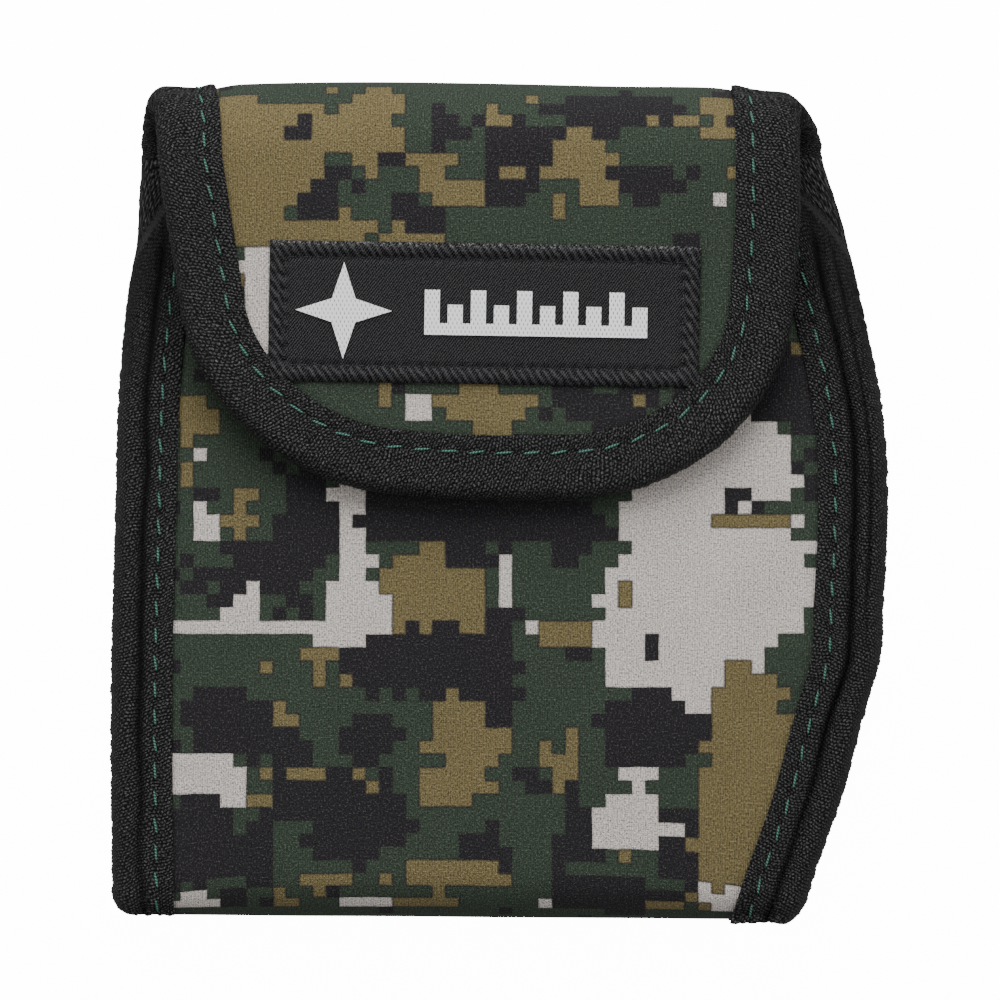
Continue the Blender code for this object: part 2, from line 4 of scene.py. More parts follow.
import bmesh
import bpy
from mathutils import Matrix, Vector, kdtree, noise
from mathutils.geometry import interpolate_bezier


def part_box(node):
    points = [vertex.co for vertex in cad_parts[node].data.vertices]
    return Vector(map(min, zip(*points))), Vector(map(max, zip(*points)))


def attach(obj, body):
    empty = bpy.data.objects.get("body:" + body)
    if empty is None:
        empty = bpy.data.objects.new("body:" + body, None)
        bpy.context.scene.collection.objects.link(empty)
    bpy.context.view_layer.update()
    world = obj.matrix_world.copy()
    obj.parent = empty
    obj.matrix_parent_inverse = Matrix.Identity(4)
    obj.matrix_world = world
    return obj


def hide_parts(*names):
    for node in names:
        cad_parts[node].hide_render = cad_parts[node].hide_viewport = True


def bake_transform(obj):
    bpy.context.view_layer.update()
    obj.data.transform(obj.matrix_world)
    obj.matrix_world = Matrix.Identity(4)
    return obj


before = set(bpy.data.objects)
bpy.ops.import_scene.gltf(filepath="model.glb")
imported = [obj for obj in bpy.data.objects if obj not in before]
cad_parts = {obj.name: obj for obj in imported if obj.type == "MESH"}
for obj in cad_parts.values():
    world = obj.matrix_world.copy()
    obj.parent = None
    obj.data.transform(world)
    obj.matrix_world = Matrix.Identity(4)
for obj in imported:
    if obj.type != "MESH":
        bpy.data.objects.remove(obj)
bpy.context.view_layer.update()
mm = 0.001  # every size below is in millimetres
noise.seed_set(7)  # noise_vector would otherwise start from the clock

# Camera: straight above the pouch, with a long lens
camera = {"centre": (0.2, 0.2), "fieldWidth": 179.2, "distance": 1200.0, "sensor": 36.0}

lens = bpy.data.cameras.new("camera")
lens.sensor_width = camera["sensor"]
lens.lens = camera["sensor"] * camera["distance"] / camera["fieldWidth"]
lens.clip_end = 20.0
eye = bpy.data.objects.new("camera", lens)
eye.location = Vector((*camera["centre"], camera["distance"] + 15.0)) * mm
bpy.context.scene.collection.objects.link(eye)
bpy.context.scene.camera = eye


# Shape of the sheet, as in the frame

faceLow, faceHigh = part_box("body_face_fabric")
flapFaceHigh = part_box("flap_face_fabric")[1]

pouch = {
    "halfLength": -faceLow[1] / mm,
    "frontTop": faceHigh[2] / mm,
    "foldRise": 1.6,  # the back climbs this much on its way to the top fold
    "riseStarts": 15.0,
    "sheet": 3.6,  # printed knit, foam and lining together
    "gap": 0.3,
    "tape": 0.7,
    "edgeLift": 4.0,  # the side seams curl off the table
    "curlFades": (5.0, 68.0),
    "liftStarts": 0.55,
    "seamGap": 0.4,
    "bulge": 2.6,
    "bulgeEnd": 0.9,
    "mouth": 56.6,
    "mouthDip": 15.0,  # how far the mouth's corners turn down inside the side tape
    "mouthTurn": 1.6,
    "tapeDrop": 4.0,
    "slantStarts": 22.0,
    "seamEnds": (-74.8, -75.4),  # of the left tape and of the right one
    "ragged": 0.5,
    "lean": 0.007,  # the bottom edge isn't quite square to the sides
    "tapeCorner": (2.4, 4.2),  # how far it's rounded inward, and over what length
    "steadyAfter": 16.0,  # the strip's ends line up across the width from here on
    "waves": 0.45,  # soft unevenness of the panels
}
pouch["flapTop"] = flapFaceHigh[2] / mm - pouch["foldRise"]
pouch["proud"] = pouch["gap"] + pouch["tape"]
foldRadius = pouch["flapTop"] / 2
foldY = pouch["halfLength"] - foldRadius - pouch["proud"]
foldZ = pouch["foldRise"] + foldRadius

tape = {
    "bodyReach": 11.2,
    "left": {"reach": 11.4, "groove": 0.45, "grooveAt": 5.6, "bulge": 1.0, "inner": 0.35, "crease": 0.0},
    "right": {"reach": 12.9, "groove": 0.5, "grooveAt": 6.3, "bulge": 1.8, "inner": 0.75, "crease": 1.1},
    "flapReach": 11.6,
    "sheetEdge": 1.4,  # from the taped edge in to the laminate's
    "ribPitch": 0.68,
    "yarnPitch": 0.60,
    "floatPitch": 0.74,
    "ribHeight": 0.08,
    "thickness": 0.6,
    "samplesPerRib": 2,
    "stitchInset": 3.1,
    "cushion": 0.35,  # how much the outer half stands up
    "scallop": 0.3,
}
stitch = {"pitch": 4.9, "length": 3.0, "width": 0.46, "height": 0.46, "dip": 0.45, "bury": 0.12}

leftEdgePoints = [(-76, -69.7), (-36, -70.0), (0, -69.2), (18, -68.7), (36, -67.2), (47, -65.5), (75, -64.1)]
rightEdgePoints = [
    (-76, 54.2), (-68, 56.7), (-54, 61.7), (-43, 64.7), (-36, 66.6), (-28, 68.9), (-18, 69.4),
    (-7, 70.0), (7, 70.1), (18, 69.0), (29, 66.9), (36, 65.4), (50, 62.2), (58, 59.7), (75, 54.6),
]  # fmt: skip
flapRoot = (-60.8, 53.6)  # the flap's edges where it meets the top fold
flapBends = (
    ((-60.8, 62.0), (-59.6, 52.0), (-58.2, 44.0), (-56.8, 34.0)),
    ((-56.8, 34.0), (-54.6, 18.4), (-39.0, 3.4), (-20.0, 1.3)),
    ((-20.0, 1.3), (-9.0, 0.1), (1.0, -0.1), (12.0, 0.2)),
    ((12.0, 0.2), (35.5, 0.8), (50.9, 16.8), (52.5, 33.5)),
    ((52.5, 33.5), (53.5, 43.0), (53.9, 52.0), (53.6, 62.0)),
)
flap = {"arch": 2.4, "halfWidth": 58.0, "middle": -3.0, "droop": 1.2, "droopStarts": 16.0}


def ramp(t):
    t = min(1.0, max(0.0, t))
    return t * t * (3 - 2 * t)


def through(points, t):
    # a smooth curve through (position, value) points, read at t
    t = min(max(t, points[0][0]), points[-1][0])
    spot = max(i for i in range(len(points) - 1) if points[i][0] <= t)
    near = [points[min(max(spot + k, 0), len(points) - 1)] for k in (-1, 0, 1, 2)]
    width = near[2][0] - near[1][0]
    slopeIn = (near[2][1] - near[0][1]) / (near[2][0] - near[0][0])
    slopeOut = (near[3][1] - near[1][1]) / (near[3][0] - near[1][0])
    s = (t - near[1][0]) / width
    start = (1 + 2 * s) * (1 - s) ** 2 * near[1][1] + s * (1 - s) ** 2 * width * slopeIn
    return start + s * s * (3 - 2 * s) * near[2][1] + s * s * (s - 1) * width * slopeOut


@lru_cache(maxsize=None)
def leftEdge(y):
    return through(leftEdgePoints, y)


@lru_cache(maxsize=None)
def rightEdge(y):
    return through(rightEdgePoints, y)


def across(x, y):
    # 0 on the middle line, 1 at a side edge of the laminate
    middle = (leftEdge(y) + rightEdge(y)) / 2
    half = (rightEdge(y) - leftEdge(y)) / 2 - tape["sheetEdge"]
    return min(1.0, abs(x - middle) / half)


def waves(x, y, seed, size=26.0):
    return noise.noise(Vector((x / size, y / size, seed))) * pouch["waves"]


def rise(y):
    return pouch["foldRise"] * ramp((y - pouch["riseStarts"]) / (foldY - pouch["riseStarts"]))


def curl(y):
    low, high = pouch["curlFades"]
    return pouch["edgeLift"] * ramp((high - y) / (high - low))


def backHeight(x, y):
    side = max(0.0, (across(x, y) - pouch["liftStarts"]) / (1 - pouch["liftStarts"]))
    return curl(y) * side**2 + rise(y)


def frontHeight(x, y):
    seam = curl(y) + rise(y) + 2 * pouch["sheet"] + pouch["seamGap"]
    share = across(x, y)
    bulge = (1 - share ** pouch["bulge"]) ** pouch["bulgeEnd"]
    return seam + (pouch["frontTop"] - seam) * bulge + waves(x, y, 3.7) * (1 - share**4)


def mouthEdge(distance):
    # y of the front's top edge: its corners turn down inside the side tape
    share = max(0.0, 1 - distance / tape["bodyReach"])
    return pouch["mouth"] - pouch["mouthDip"] * share ** pouch["mouthTurn"]


def flapHeight(x, y):
    side = (x - flap["middle"]) / flap["halfWidth"]
    arch = flap["arch"] * side**2 * ramp((foldY - y) / 25.0)
    droop = flap["droop"] * ramp(1 - y / flap["droopStarts"])
    return pouch["flapTop"] + rise(y) - arch - droop + waves(x, y, 9.1, 21.0) * ramp((foldY - y) / 30) * 0.8


foldSwell = [
    (-62, -1.0), (-54, -0.7), (-50, 0.2), (-46, 0.8), (-24, 1.2), (0, 0.9), (22, 0.4), (38, 0.2), (43, -0.5),
    (48, -1.6), (58, -2.9),
]  # fmt: skip


def foldPoint(x, angle, lift):
    turn = math.radians(angle)
    radius = foldRadius + lift + through(foldSwell, x) * math.sin(turn) ** 2
    return Vector((x, foldY + radius * math.sin(turn), foldZ - radius * math.cos(turn)))


def foldEdges(angle):
    # the right edge draws in sooner than the left one
    shares = (ramp(angle / 180), ramp(angle / 110))
    low = (leftEdge(foldY), rightEdge(foldY))
    return tuple(a + (b - a) * share for a, b, share in zip(low, flapRoot, shares))


def bottomFold(x):
    # centre and radius of the half turn at the bottom of the pouch
    y = -pouch["halfLength"] + 5.0
    centre = -pouch["halfLength"] - pouch["lean"] * x + (frontHeight(x, y) - backHeight(x, y)) / 2
    low, high = backHeight(x, centre), frontHeight(x, centre)
    return centre, (high - low) / 2, (high + low) / 2


frontEnd = bottomFold(0.0)[0]
foldRun = math.pi * bottomFold(0.0)[1]
bodyLow = frontEnd - foldRun - (foldY - frontEnd)  # the strip's far end, where v goes on down from the front


def bodySpot(u, v):
    # which stretch of the strip a cloth point is in, and its y there or its share of the bottom fold
    centre = bottomFold(u)[0]
    steady = frontEnd + pouch["steadyAfter"]
    if v >= frontEnd:
        near = max(0.0, (steady - v) / (steady - frontEnd))
        return "front", v + (centre - frontEnd) * near
    if v >= frontEnd - foldRun:
        return "fold", (frontEnd - v) / foldRun
    y = frontEnd + (frontEnd - foldRun - v)
    near = max(0.0, (steady - y) / (steady - frontEnd))
    return "back", y + (centre - frontEnd) * near


def bodyPoint(u, v, depth):
    where, spot = bodySpot(u, v)
    if where == "front":
        return Vector((u, spot, frontHeight(u, spot) - depth))
    if where == "back":
        return Vector((u, spot, backHeight(u, spot) + depth))
    centre, radius, middle = bottomFold(u)
    turn = math.pi * spot
    y = centre - (radius - depth) * math.sin(turn)
    return Vector((u, y, middle + (radius - depth) * math.cos(turn)))


def bodyOutline(step=1.5):
    # the strip laid flat: both mouth corners are cut back inside the side tapes
    inset, reach = tape["sheetEdge"], tape["bodyReach"]
    corner = [inset + (reach - inset) * i / 8 for i in range(9)]
    rows = round((mouthEdge(inset) - bodyLow) / step)
    levels = [mouthEdge(inset) + (bodyLow - mouthEdge(inset)) * i / rows for i in range(1, rows + 1)]

    def edgeAt(v, edge, inset):
        x = edge(0.0) + inset
        for tries in range(4):  # closes in on an edge that depends on y, which depends on x
            where, y = bodySpot(x, v)
            y = bottomFold(x)[0] if where == "fold" else y
            x = edge(y) + inset * (1 + 1.9 * ramp((pouch["seamEnds"][0] + 9 - y) / 6))
        return x

    left = [(leftEdge(mouthEdge(d)) + d, mouthEdge(d)) for d in reversed(corner)]
    right = [(rightEdge(mouthEdge(d)) - d, mouthEdge(d)) for d in corner]
    left += [(edgeAt(v, leftEdge, inset), v) for v in levels]
    return left + [(edgeAt(v, rightEdge, -inset), v) for v in reversed(levels)] + right


def flapPoint(x, y, lift):
    return Vector((x, y, flapHeight(x, y) + lift))


def flapOutline(pieces=40):
    # the flap's taped edge as 2D points, from its left root round to its right root
    line = []
    for bend in flapBends:
        knot, out, into, end = (Vector((*p, 0)) for p in bend)
        line += interpolate_bezier(knot, out, into, end, pieces + 1)[:-1]
    return [Vector(p).to_2d() for p in line] + [end.to_2d()]


flapEdge = flapOutline()


# Shader maths


class Value:
    def __init__(self, look, socket):
        self.look = look
        self.socket = socket

    def math(self, operation, *others):
        return self.look.value("ShaderNodeMath", {"operation": operation}, dict(enumerate((self, *others))))


def addOperator(name, operation):
    def ahead(self, other):
        return self.math(operation, other)

    def reflected(self, other):
        return self.look.value("ShaderNodeMath", {"operation": operation}, {0: other, 1: self})

    setattr(Value, f"__{name}__", ahead)
    setattr(Value, f"__r{name}__", reflected)


for name, operation in (
    ("add", "ADD"), ("sub", "SUBTRACT"), ("mul", "MULTIPLY"), ("truediv", "DIVIDE"), ("pow", "POWER"),
):  # fmt: skip
    addOperator(name, operation)


class Look:
    def __init__(self, name):
        self.material = bpy.data.materials.new(name)
        self.material.use_nodes = True
        self.tree = self.material.node_tree
        self.shader = self.tree.nodes["Principled BSDF"]

    def node(self, kind, settings=None, inputs=None):
        made = self.tree.nodes.new(kind)
        for name, value in (settings or {}).items():
            setattr(made, name, value)
        for name, value in (inputs or {}).items():
            self.feed(made.inputs[name], value)
        return made

    def feed(self, socket, value):
        if isinstance(value, Value):
            self.tree.links.new(value.socket, socket)
        else:
            socket.default_value = value

    def value(self, kind, settings=None, inputs=None, output=0):
        return Value(self, self.node(kind, settings, inputs).outputs[output])

    def uv(self):
        spot = self.node("ShaderNodeUVMap", {"uv_map": "cloth"}).outputs[0]
        apart = self.node("ShaderNodeSeparateXYZ", None, {0: Value(self, spot)})
        return Value(self, apart.outputs[0]), Value(self, apart.outputs[1])

    def point(self, x, y, z=0.0):
        return self.value("ShaderNodeCombineXYZ", None, {0: x, 1: y, 2: z})

    def noise(self, spot, size, detail=2.0, rough=0.5):
        inputs = {"Vector": spot, "Scale": 1 / size, "Detail": detail, "Roughness": rough}
        return self.value("ShaderNodeTexNoise", None, inputs)

    def between(self, value, low, high, start=0.0, end=1.0, kind="SMOOTHSTEP"):
        inputs = {0: value, 1: low, 2: high, 3: start, 4: end}
        return self.value("ShaderNodeMapRange", {"interpolation_type": kind}, inputs)

    def mix(self, factor, first, second, blend="MIX"):
        made = self.node("ShaderNodeMix", {"data_type": "RGBA", "blend_type": blend})
        self.feed(made.inputs[0], factor)
        self.feed(made.inputs[6], first)
        self.feed(made.inputs[7], second)
        return Value(self, made.outputs[2])

    def bump(self, height, distance, strength=1.0):
        inputs = {"Height": height, "Distance": distance, "Strength": strength}
        made = self.value("ShaderNodeBump", None, inputs)
        self.feed(self.shader.inputs["Normal"], made)

    def finish(self, **sockets):
        for name, value in sockets.items():
            self.feed(self.shader.inputs[name], value)
        return self.material


def ripple(value, pitch, shift=0.0):
    # a wave with that pitch in millimetres
    return (value * (2 * math.pi / (pitch * mm)) + shift).math("SINE")


def rgb(red, green, blue):
    # a display colour from 0 to 255, as the linear colour that a shader takes
    return tuple((c / 255) ** 2.2 for c in (red, green, blue)) + (1.0,)


# Printed knit: square cells in four colours

camo = {
    "cell": 2.38,
    "green": rgb(51, 63, 52),
    "olive": rgb(112, 101, 68),
    "light": rgb(206, 198, 192),
    "dark": rgb(33, 31, 36),
    "wander": 0.14,  # how far the print's edges stray
    "rim": 0.13,  # share of a cell's width that a dark rim takes
    "wale": 0.42,  # pitch of the knit's wales, and of its courses
    "course": 0.36,
}

# Where each colour is called for: (x, y, half width, half height, strength)
frontPatches = {
    "light": [
        (43, 6, 9, 6.5, 1.55), (29, -7, 8, 10, 1.5), (47, -16, 9, 11, 1.6), (27, -25, 9, 9, 1.6),
        (36, -33, 5, 4, 1.4),
        (38, -14, 10, 10, 1.0), (-26.5, -4, 3, 6.5, 1.5), (-25, -18.7, 5, 7, 1.7),
        (-49, -22.5, 10, 1.8, 1.5),
        (-46, -18, 2, 4, 1.1), (-53, -49.5, 7, 3.6, 1.7), (-47.5, -54, 2, 2.8, 1.2), (-41, -54, 3, 4, 0.9),
        (-52.5, -4.5, 2.4, 2.6, 1.4), (1, -16, 2, 5, 1.2), (6, -20, 2, 3, 0.9), (25.5, -57.5, 8, 4, 1.5),
        (26, -46.5, 3, 4.5, 1.2), (41, -70, 6, 4.5, 1.5), (-55, -72, 5, 2, 1.3),
        (8, -73, 2, 1.6, 1.4), (-24, -72.5, 3, 1.6, 1.5), (-42, -36, 10, 8, -1.0),
    ],
    "dark": [
        (-36, -8, 5.5, 9, 1.2), (-9, -2.5, 17, 4.5, 1.1), (-14, -30, 11, 4.5, 1.3),
        (-1.5, -33, 4.5, 9, 1.1),
        (-23, -42.5, 3.8, 3.6, 1.4), (-49, -37.6, 5.2, 5, 1.4), (27, -40, 10, 5.5, 1.4),
        (53, 20, 6, 7, 1.2),
        (-54, -58, 5, 5, 1.1), (-28, -57, 6.5, 6.5, 1.1), (20, -71, 12, 3, 0.9), (-40, -71, 10, 3, 0.8),
        (12, -5, 5, 4, 0.8), (-22, -26, 3, 5, 0.8), (15, -60, 4, 4, 0.8), (54, 4, 3, 6, 0.5),
        (44, 0, 8, 1.2, 1.7),
        (32, -15, 3, 2, 1.5), (38, -22, 3, 1.5, 1.4),
    ],
    "olive": [
        (-13, -14, 8, 5, 1.4), (-18, -22, 6, 3, 1.0), (-28, -28.6, 7, 3.6, 1.3), (-5, -22, 3, 5, 1.0),
        (-7, -44, 6.5, 9, 1.4), (45, -50, 8, 14, 1.4), (43, -34, 6, 5, 1.1), (-5, -66, 10, 2.4, 1.1),
        (31, -72, 6, 2.4, 1.0), (-45.5, -2.5, 3, 4.5, 1.1), (11, -24, 5, 2.4, 1.1), (44, -3, 8, 1.2, 2.0),
        (-54.5, 15.5, 3, 4, 1.1), (11, -45, 3.4, 4, 1.0), (24, -17, 3, 2, 1.5), (-36, -70, 5, 3, 0.7),
        (-12, -72.5, 4, 1.6, 1.3),
        (40, -62, 5, 5, 0.8),
    ],
}  # fmt: skip
flapPatches = {
    "light": [
        (-44, 42, 3, 5, 1.7), (-42.6, 33, 1.6, 5, 1.7), (-48, 55, 1.4, 1.4, 1.4),
        (-14.5, 16.5, 1.6, 2.8, 1.5),
        (13, 55, 1.4, 1.4, 1.3), (40, 54, 1.4, 1.6, 1.1), (-10, 60, 34, 14, -0.8), (20, 60, 20, 12, -0.5),
        (10, 18, 20, 4, -0.5),
    ],
    "dark": [
        (-10.5, 67, 2.2, 3.4, 1.4), (4, 62, 4.8, 4.4, 1.4), (0, 54, 3, 2.6, 1.1), (22, 71, 10, 2.8, 1.4),
        (-32.5, 53, 3.4, 3.2, 1.6), (-36, 66, 2, 2.4, 1.7), (-20, 62, 3.2, 2.4, 1.1), (-27, 57, 3, 2, 0.9),
        (27, 57, 3.4, 3, 0.8), (36, 48, 4, 4, 0.6), (18, 17, 4, 3, 1.1), (-14, 49, 3, 3, 0.8),
        (43, 70, 3, 3, 0.7),
        (17, 66, 4, 2, 0.9), (46, 62, 3, 5, 0.5), (-38, 60, 14, 12, -0.5), (10, 46, 20, 5, -0.4),
        (0, 60, 70, 25, -0.16),
    ],
    "olive": [
        (-41, 67, 9, 6.5, 1.15), (-37.5, 51.5, 11, 5, 1.2), (-45, 60, 6, 9, 1.15), (-26, 47, 12, 2.4, 1.2),
        (-9, 57, 4, 5, 1.3), (-27, 66, 4, 4, 0.8), (18.5, 57, 2.6, 4, 1.4), (40, 72, 4, 2, 1.3),
        (13, 63, 2, 2, 1.2),
        (-3, 17.5, 9, 2.4, 1.3), (25, 18, 2, 2, 1.1), (-22, 72, 3, 2, 0.7), (8, 46, 8, 3, -0.5),
        (-20, 19, 3, 2, 0.9),
        (-33, 59, 9, 4, 0.8),
    ],
}  # fmt: skip
printRoughness = ((17.0, 0.9), (7.5, 0.75), (3.1, 0.75))  # size of each grain in the pattern, and its part
printCall = {"light": -1.0, "dark": -0.40, "olive": -0.66}  # the more negative, the rarer


def printedKind(column, row, patches, seed):
    # which colour a cell of the print has
    x, y = (column + 0.5) * camo["cell"], (row + 0.5) * camo["cell"]
    calls = {"green": 0.0}
    for number, (kind, places) in enumerate(patches.items()):
        call = printCall[kind]
        for px, py, halfWidth, halfHeight, strength in places:
            away = math.hypot((x - px) / halfWidth, (y - py) / halfHeight)
            call += strength * ramp((1.75 - away) / 1.1)
        for size, part in printRoughness:
            call += part * noise.noise(Vector((x / size, y * 1.15 / size, seed + number * 7.3)))
        calls[kind] = call
    return max(calls, key=calls.get)


def dye(form, patches, seed):
    # colours each cell of a flat sheet, and notes which of its four sides meet another colour
    layer = form.loops.layers.float_color.new("print")
    rims = form.loops.layers.float_color.new("rims")
    cell = camo["cell"]
    known = {}

    def kindAt(*spot):
        if spot not in known:
            known[spot] = printedKind(*spot, patches, seed)
        return known[spot]

    for face in form.faces:
        middle = face.calc_center_median()
        column, row = math.floor(middle.x / cell), math.floor(middle.y / cell)
        own = kindAt(column, row)
        beside = [kindAt(column + x, row + y) for x, y in ((-1, 0), (1, 0), (0, -1), (0, 1))]
        flags = [0.0 if other == own else 1.0 if "olive" in (own, other) else 0.5 for other in beside]
        for loop in face.loops:
            loop[layer] = camo[own]
            loop[rims] = flags


def printedKnit():
    look = Look("printedKnit")
    u, v = look.uv()
    colour = look.value("ShaderNodeVertexColor", {"layer_name": "print"})
    rims = look.node("ShaderNodeVertexColor", {"layer_name": "rims"})
    flags = look.node("ShaderNodeSeparateColor", None, {0: Value(look, rims.outputs[0])})
    column, row = (u / (camo["cell"] * mm)).math("FRACT"), (v / (camo["cell"] * mm)).math("FRACT")
    sides = (column, 1 - column, row, 1 - row)
    sockets = (*flags.outputs, rims.outputs[1])
    rim = 0.0
    for side, socket in zip(sides, sockets):
        near = look.between(side, camo["rim"], camo["rim"] * 0.35)
        rim = (near * Value(look, socket)).math("MAXIMUM", rim)
    colour = look.mix(rim * 0.62, colour, camo["dark"])

    # knit: vertical wales, with a grain from the single loops
    drift = look.noise(look.point(u, v), 6 * mm) * 2.5
    wale = ripple(u, camo["wale"], drift)
    course = ripple(v, camo["course"], wale * 0.8)
    grain = look.noise(look.point(u, v), 0.34 * mm, 2.0, 0.7)
    broad = look.noise(look.point(u, v), 14 * mm, 2.0)
    shade = 0.86 + wale * 0.11 + course * 0.02 + (grain - 0.5) * 2.9 + (broad - 0.5) * 0.22
    grey = look.value("ShaderNodeCombineColor", None, {0: shade, 1: shade, 2: shade})
    colour = look.mix(1.0, colour, grey, "MULTIPLY")
    fuzz = look.between(grain, 0.52, 0.75) * 0.13 + 0.012
    colour = look.mix(fuzz, colour, rgb(185, 182, 172))
    look.bump(wale * 0.45 + course * 0.1 + grain * 3.0, 0.10 * mm)
    return look.finish(**{
        "Base Color": colour,
        "Roughness": 0.88,
        "Specular IOR Level": 0.14,
        "Sheen Weight": 0.04,
    })


def plainKnit(name, colour, pitch=0.45):
    # the lining and other plain black jersey
    look = Look(name)
    u, v = look.uv()
    wale = ripple(u, pitch)
    grain = look.noise(look.point(u, v), 0.35 * mm, 2.0, 0.7)
    shade = look.between(wale * 0.2 + grain, 0.2, 0.9)
    look.bump(wale * 0.6 + grain, 0.08 * mm)
    light = tuple(min(1.0, c * 2.6 + 0.006) for c in colour[:3]) + (1.0,)
    return look.finish(**{
        "Base Color": look.mix(shade, colour, light),
        "Roughness": 0.92,
        "Specular IOR Level": 0.2,
        "Sheen Weight": 0.1,
    })


def grosgrain():
    # black tape: slanting rows of short yarn floats, no two quite alike
    look = Look("bindingTape")
    u, v = look.uv()
    drift = look.noise(look.point(u, v), 1.1 * mm, 3.0, 0.65) - 0.5
    sway = look.noise(look.point(u * 0.5, v), 6 * mm, 1.0) - 0.5
    rows = (u + v * 0.34) / (tape["yarnPitch"] * mm) + drift * 1.0 + sway * 5.0
    number = rows.math("FLOOR")
    floats = v / (tape["floatPitch"] * mm) + number * 0.37 + drift * 2.0
    ridge = 1 - ((rows.math("FRACT") - 0.5) * 2.0).math("ABSOLUTE")
    crest = 1 - ((floats.math("FRACT") - 0.5) * 2.0).math("ABSOLUTE")
    fibre = look.noise(look.point(u, v * 0.6), 0.26 * mm, 3.0, 0.8)
    height = (ridge * crest) ** 0.5 * 0.8 + (fibre - 0.5) * 2.3 + 0.1
    lot = look.noise(look.point(number * 0.37, floats.math("FLOOR") * 0.71), 1.0, 0.0)
    # broad patches where the painted glints are stronger
    glintSpread = look.noise(look.point(u, v), 9 * mm, 3.0)
    # painted shade and highlight: the gaps between floats are painted near black, the float tops lighter
    top = look.between(height, 0.3, 1.05)
    colour = look.mix(top, rgb(3, 3, 4), rgb(95, 95, 96))
    # painted highlight: pale glints on some float tops
    glint = look.between(fibre, 0.52, 0.72) * look.between(lot, 0.42, 0.62) * look.between(height, 0.5, 1.0)
    colour = look.mix(glint * (glintSpread * 0.8 + 0.3), colour, rgb(150, 151, 150))
    # painted shade: the tape is darkened in the side tapes' groove and crease
    folds = look.value("ShaderNodeVertexColor", {"layer_name": "folds"})
    colour = look.mix(1.0, colour, folds, "MULTIPLY")
    look.bump(height + ridge * 0.4, 0.28 * mm)
    return look.finish(**{
        "Base Color": colour,
        "Roughness": look.between(fibre, 0.2, 0.8, 0.42, 0.7),
        "Specular IOR Level": 0.16,
    })


def twistedThread(name, colour, glint):
    # plied thread: slanting turns along each stitch, each turn painted lighter as a highlight
    look = Look(name)
    u, v = look.uv()
    turns = ripple(u, 0.55, v * 6.3)
    fibre = look.noise(look.point(u, v * 0.001), 0.12 * mm, 2.0)
    shade = look.between(turns * 0.5 + fibre, 0.0, 1.1)
    look.bump(turns + fibre * 0.6, 0.05 * mm)
    return look.finish(**{
        "Base Color": look.mix(shade, colour, glint),
        "Roughness": 0.42,
        "Specular IOR Level": 0.5,
    })


twill = {"slant": 0.56, "cross": 0.4, "rope": 1.5, "inside": (35.2, 9.4)}  # pitches, and where the hem begins


def labelTwill():
    # black ribbon: fine diagonal twill, with pale fluff caught along the top edge
    look = Look("labelTwill")
    u, v = look.uv()
    grain = look.noise(look.point(u, v), 0.26 * mm, 2.0, 0.7)
    slant = ripple(u - v * 0.8, twill["slant"], grain * 2.5)
    cross = ripple(u + v * 0.5, twill["cross"], grain * 2.0)
    halfWidth, halfHeight = twill["inside"]
    beside, above = u.math("ABSOLUTE") - halfWidth * mm, v.math("ABSOLUTE") - halfHeight * mm
    hem = look.between(beside.math("MAXIMUM", above), 0.0, 0.7 * mm)
    stray = look.noise(look.point(u, v), 2.2 * mm, 2.0)
    rope = ripple(u + v * 0.7, twill["rope"], grain * 3 + stray * 6)
    height = slant * 0.22 + cross * 0.12 + grain * 1.6 - 0.3 + hem * rope * 0.12
    colour = look.mix(look.between(height, 0.25, 0.85), rgb(1, 1, 2), rgb(66, 66, 68))
    colour = look.mix(hem * look.between(rope * 0.4 + grain, 0.5, 1.0) * 0.25, colour, rgb(84, 83, 85))
    fluff = look.noise(look.point(u, v, 0.4), 0.5 * mm, 3.0, 0.8)
    fluff = look.between(fluff, 0.53, 0.62) * look.between(v, 11.3 * mm, 12.2 * mm)
    colour = look.mix(fluff * 0.6, colour, rgb(150, 150, 148))
    look.bump(height + hem * rope * 0.55, 0.14 * mm)
    return look.finish(**{"Base Color": colour, "Roughness": 0.6, "Specular IOR Level": 0.1})


markPitch = 0.74  # of the white yarn's floats


def wovenMark():
    # white yarn floats laid in short staggered bars
    look = Look("wovenMark")
    u, v = look.uv()
    across, down = u / (markPitch * mm), v / (markPitch * mm)
    along = (across + down.math("FLOOR") * 0.5).math("FRACT")
    over = ((along - 0.5) * 2).math("ABSOLUTE")
    beside = ((down.math("FRACT") - 0.5) * 2).math("ABSOLUTE")
    height = 1 - over**4.0 * (1 - beside**2.0) * 1.4
    fibre = look.noise(look.point(u, v), 0.2 * mm, 2.0)
    colour = look.mix(look.between(height + fibre * 0.3, 0.15, 0.6), rgb(84, 84, 88), rgb(236, 237, 238))
    look.bump(height + fibre * 0.2, 0.12 * mm)
    return look.finish(**{"Base Color": colour, "Roughness": 0.66, "Specular IOR Level": 0.3})


def foamRubber():
    look = Look("foamRubber")
    u, v = look.uv()
    cells = look.noise(look.point(u, v), 0.5 * mm, 3.0, 0.7)
    look.bump(cells, 0.15 * mm)
    return look.finish(**{
        "Base Color": look.mix(cells, rgb(18, 18, 18), rgb(48, 48, 50)),
        "Roughness": 0.9,
        "Specular IOR Level": 0.25,
    })


def brushedLoops():
    look = Look("brushedLoops")
    u, v = look.uv()
    tangle = look.noise(look.point(u, v), 0.55 * mm, 4.0, 0.75)
    tufts = look.noise(look.point(u, v), 2.2 * mm, 2.0)
    look.bump(tangle + tufts * 0.5, 0.35 * mm)
    return look.finish(**{
        "Base Color": look.mix(look.between(tangle, 0.35, 0.75), rgb(12, 12, 13), rgb(70, 70, 72)),
        "Roughness": 0.88,
        "Sheen Weight": 0.2,
    })


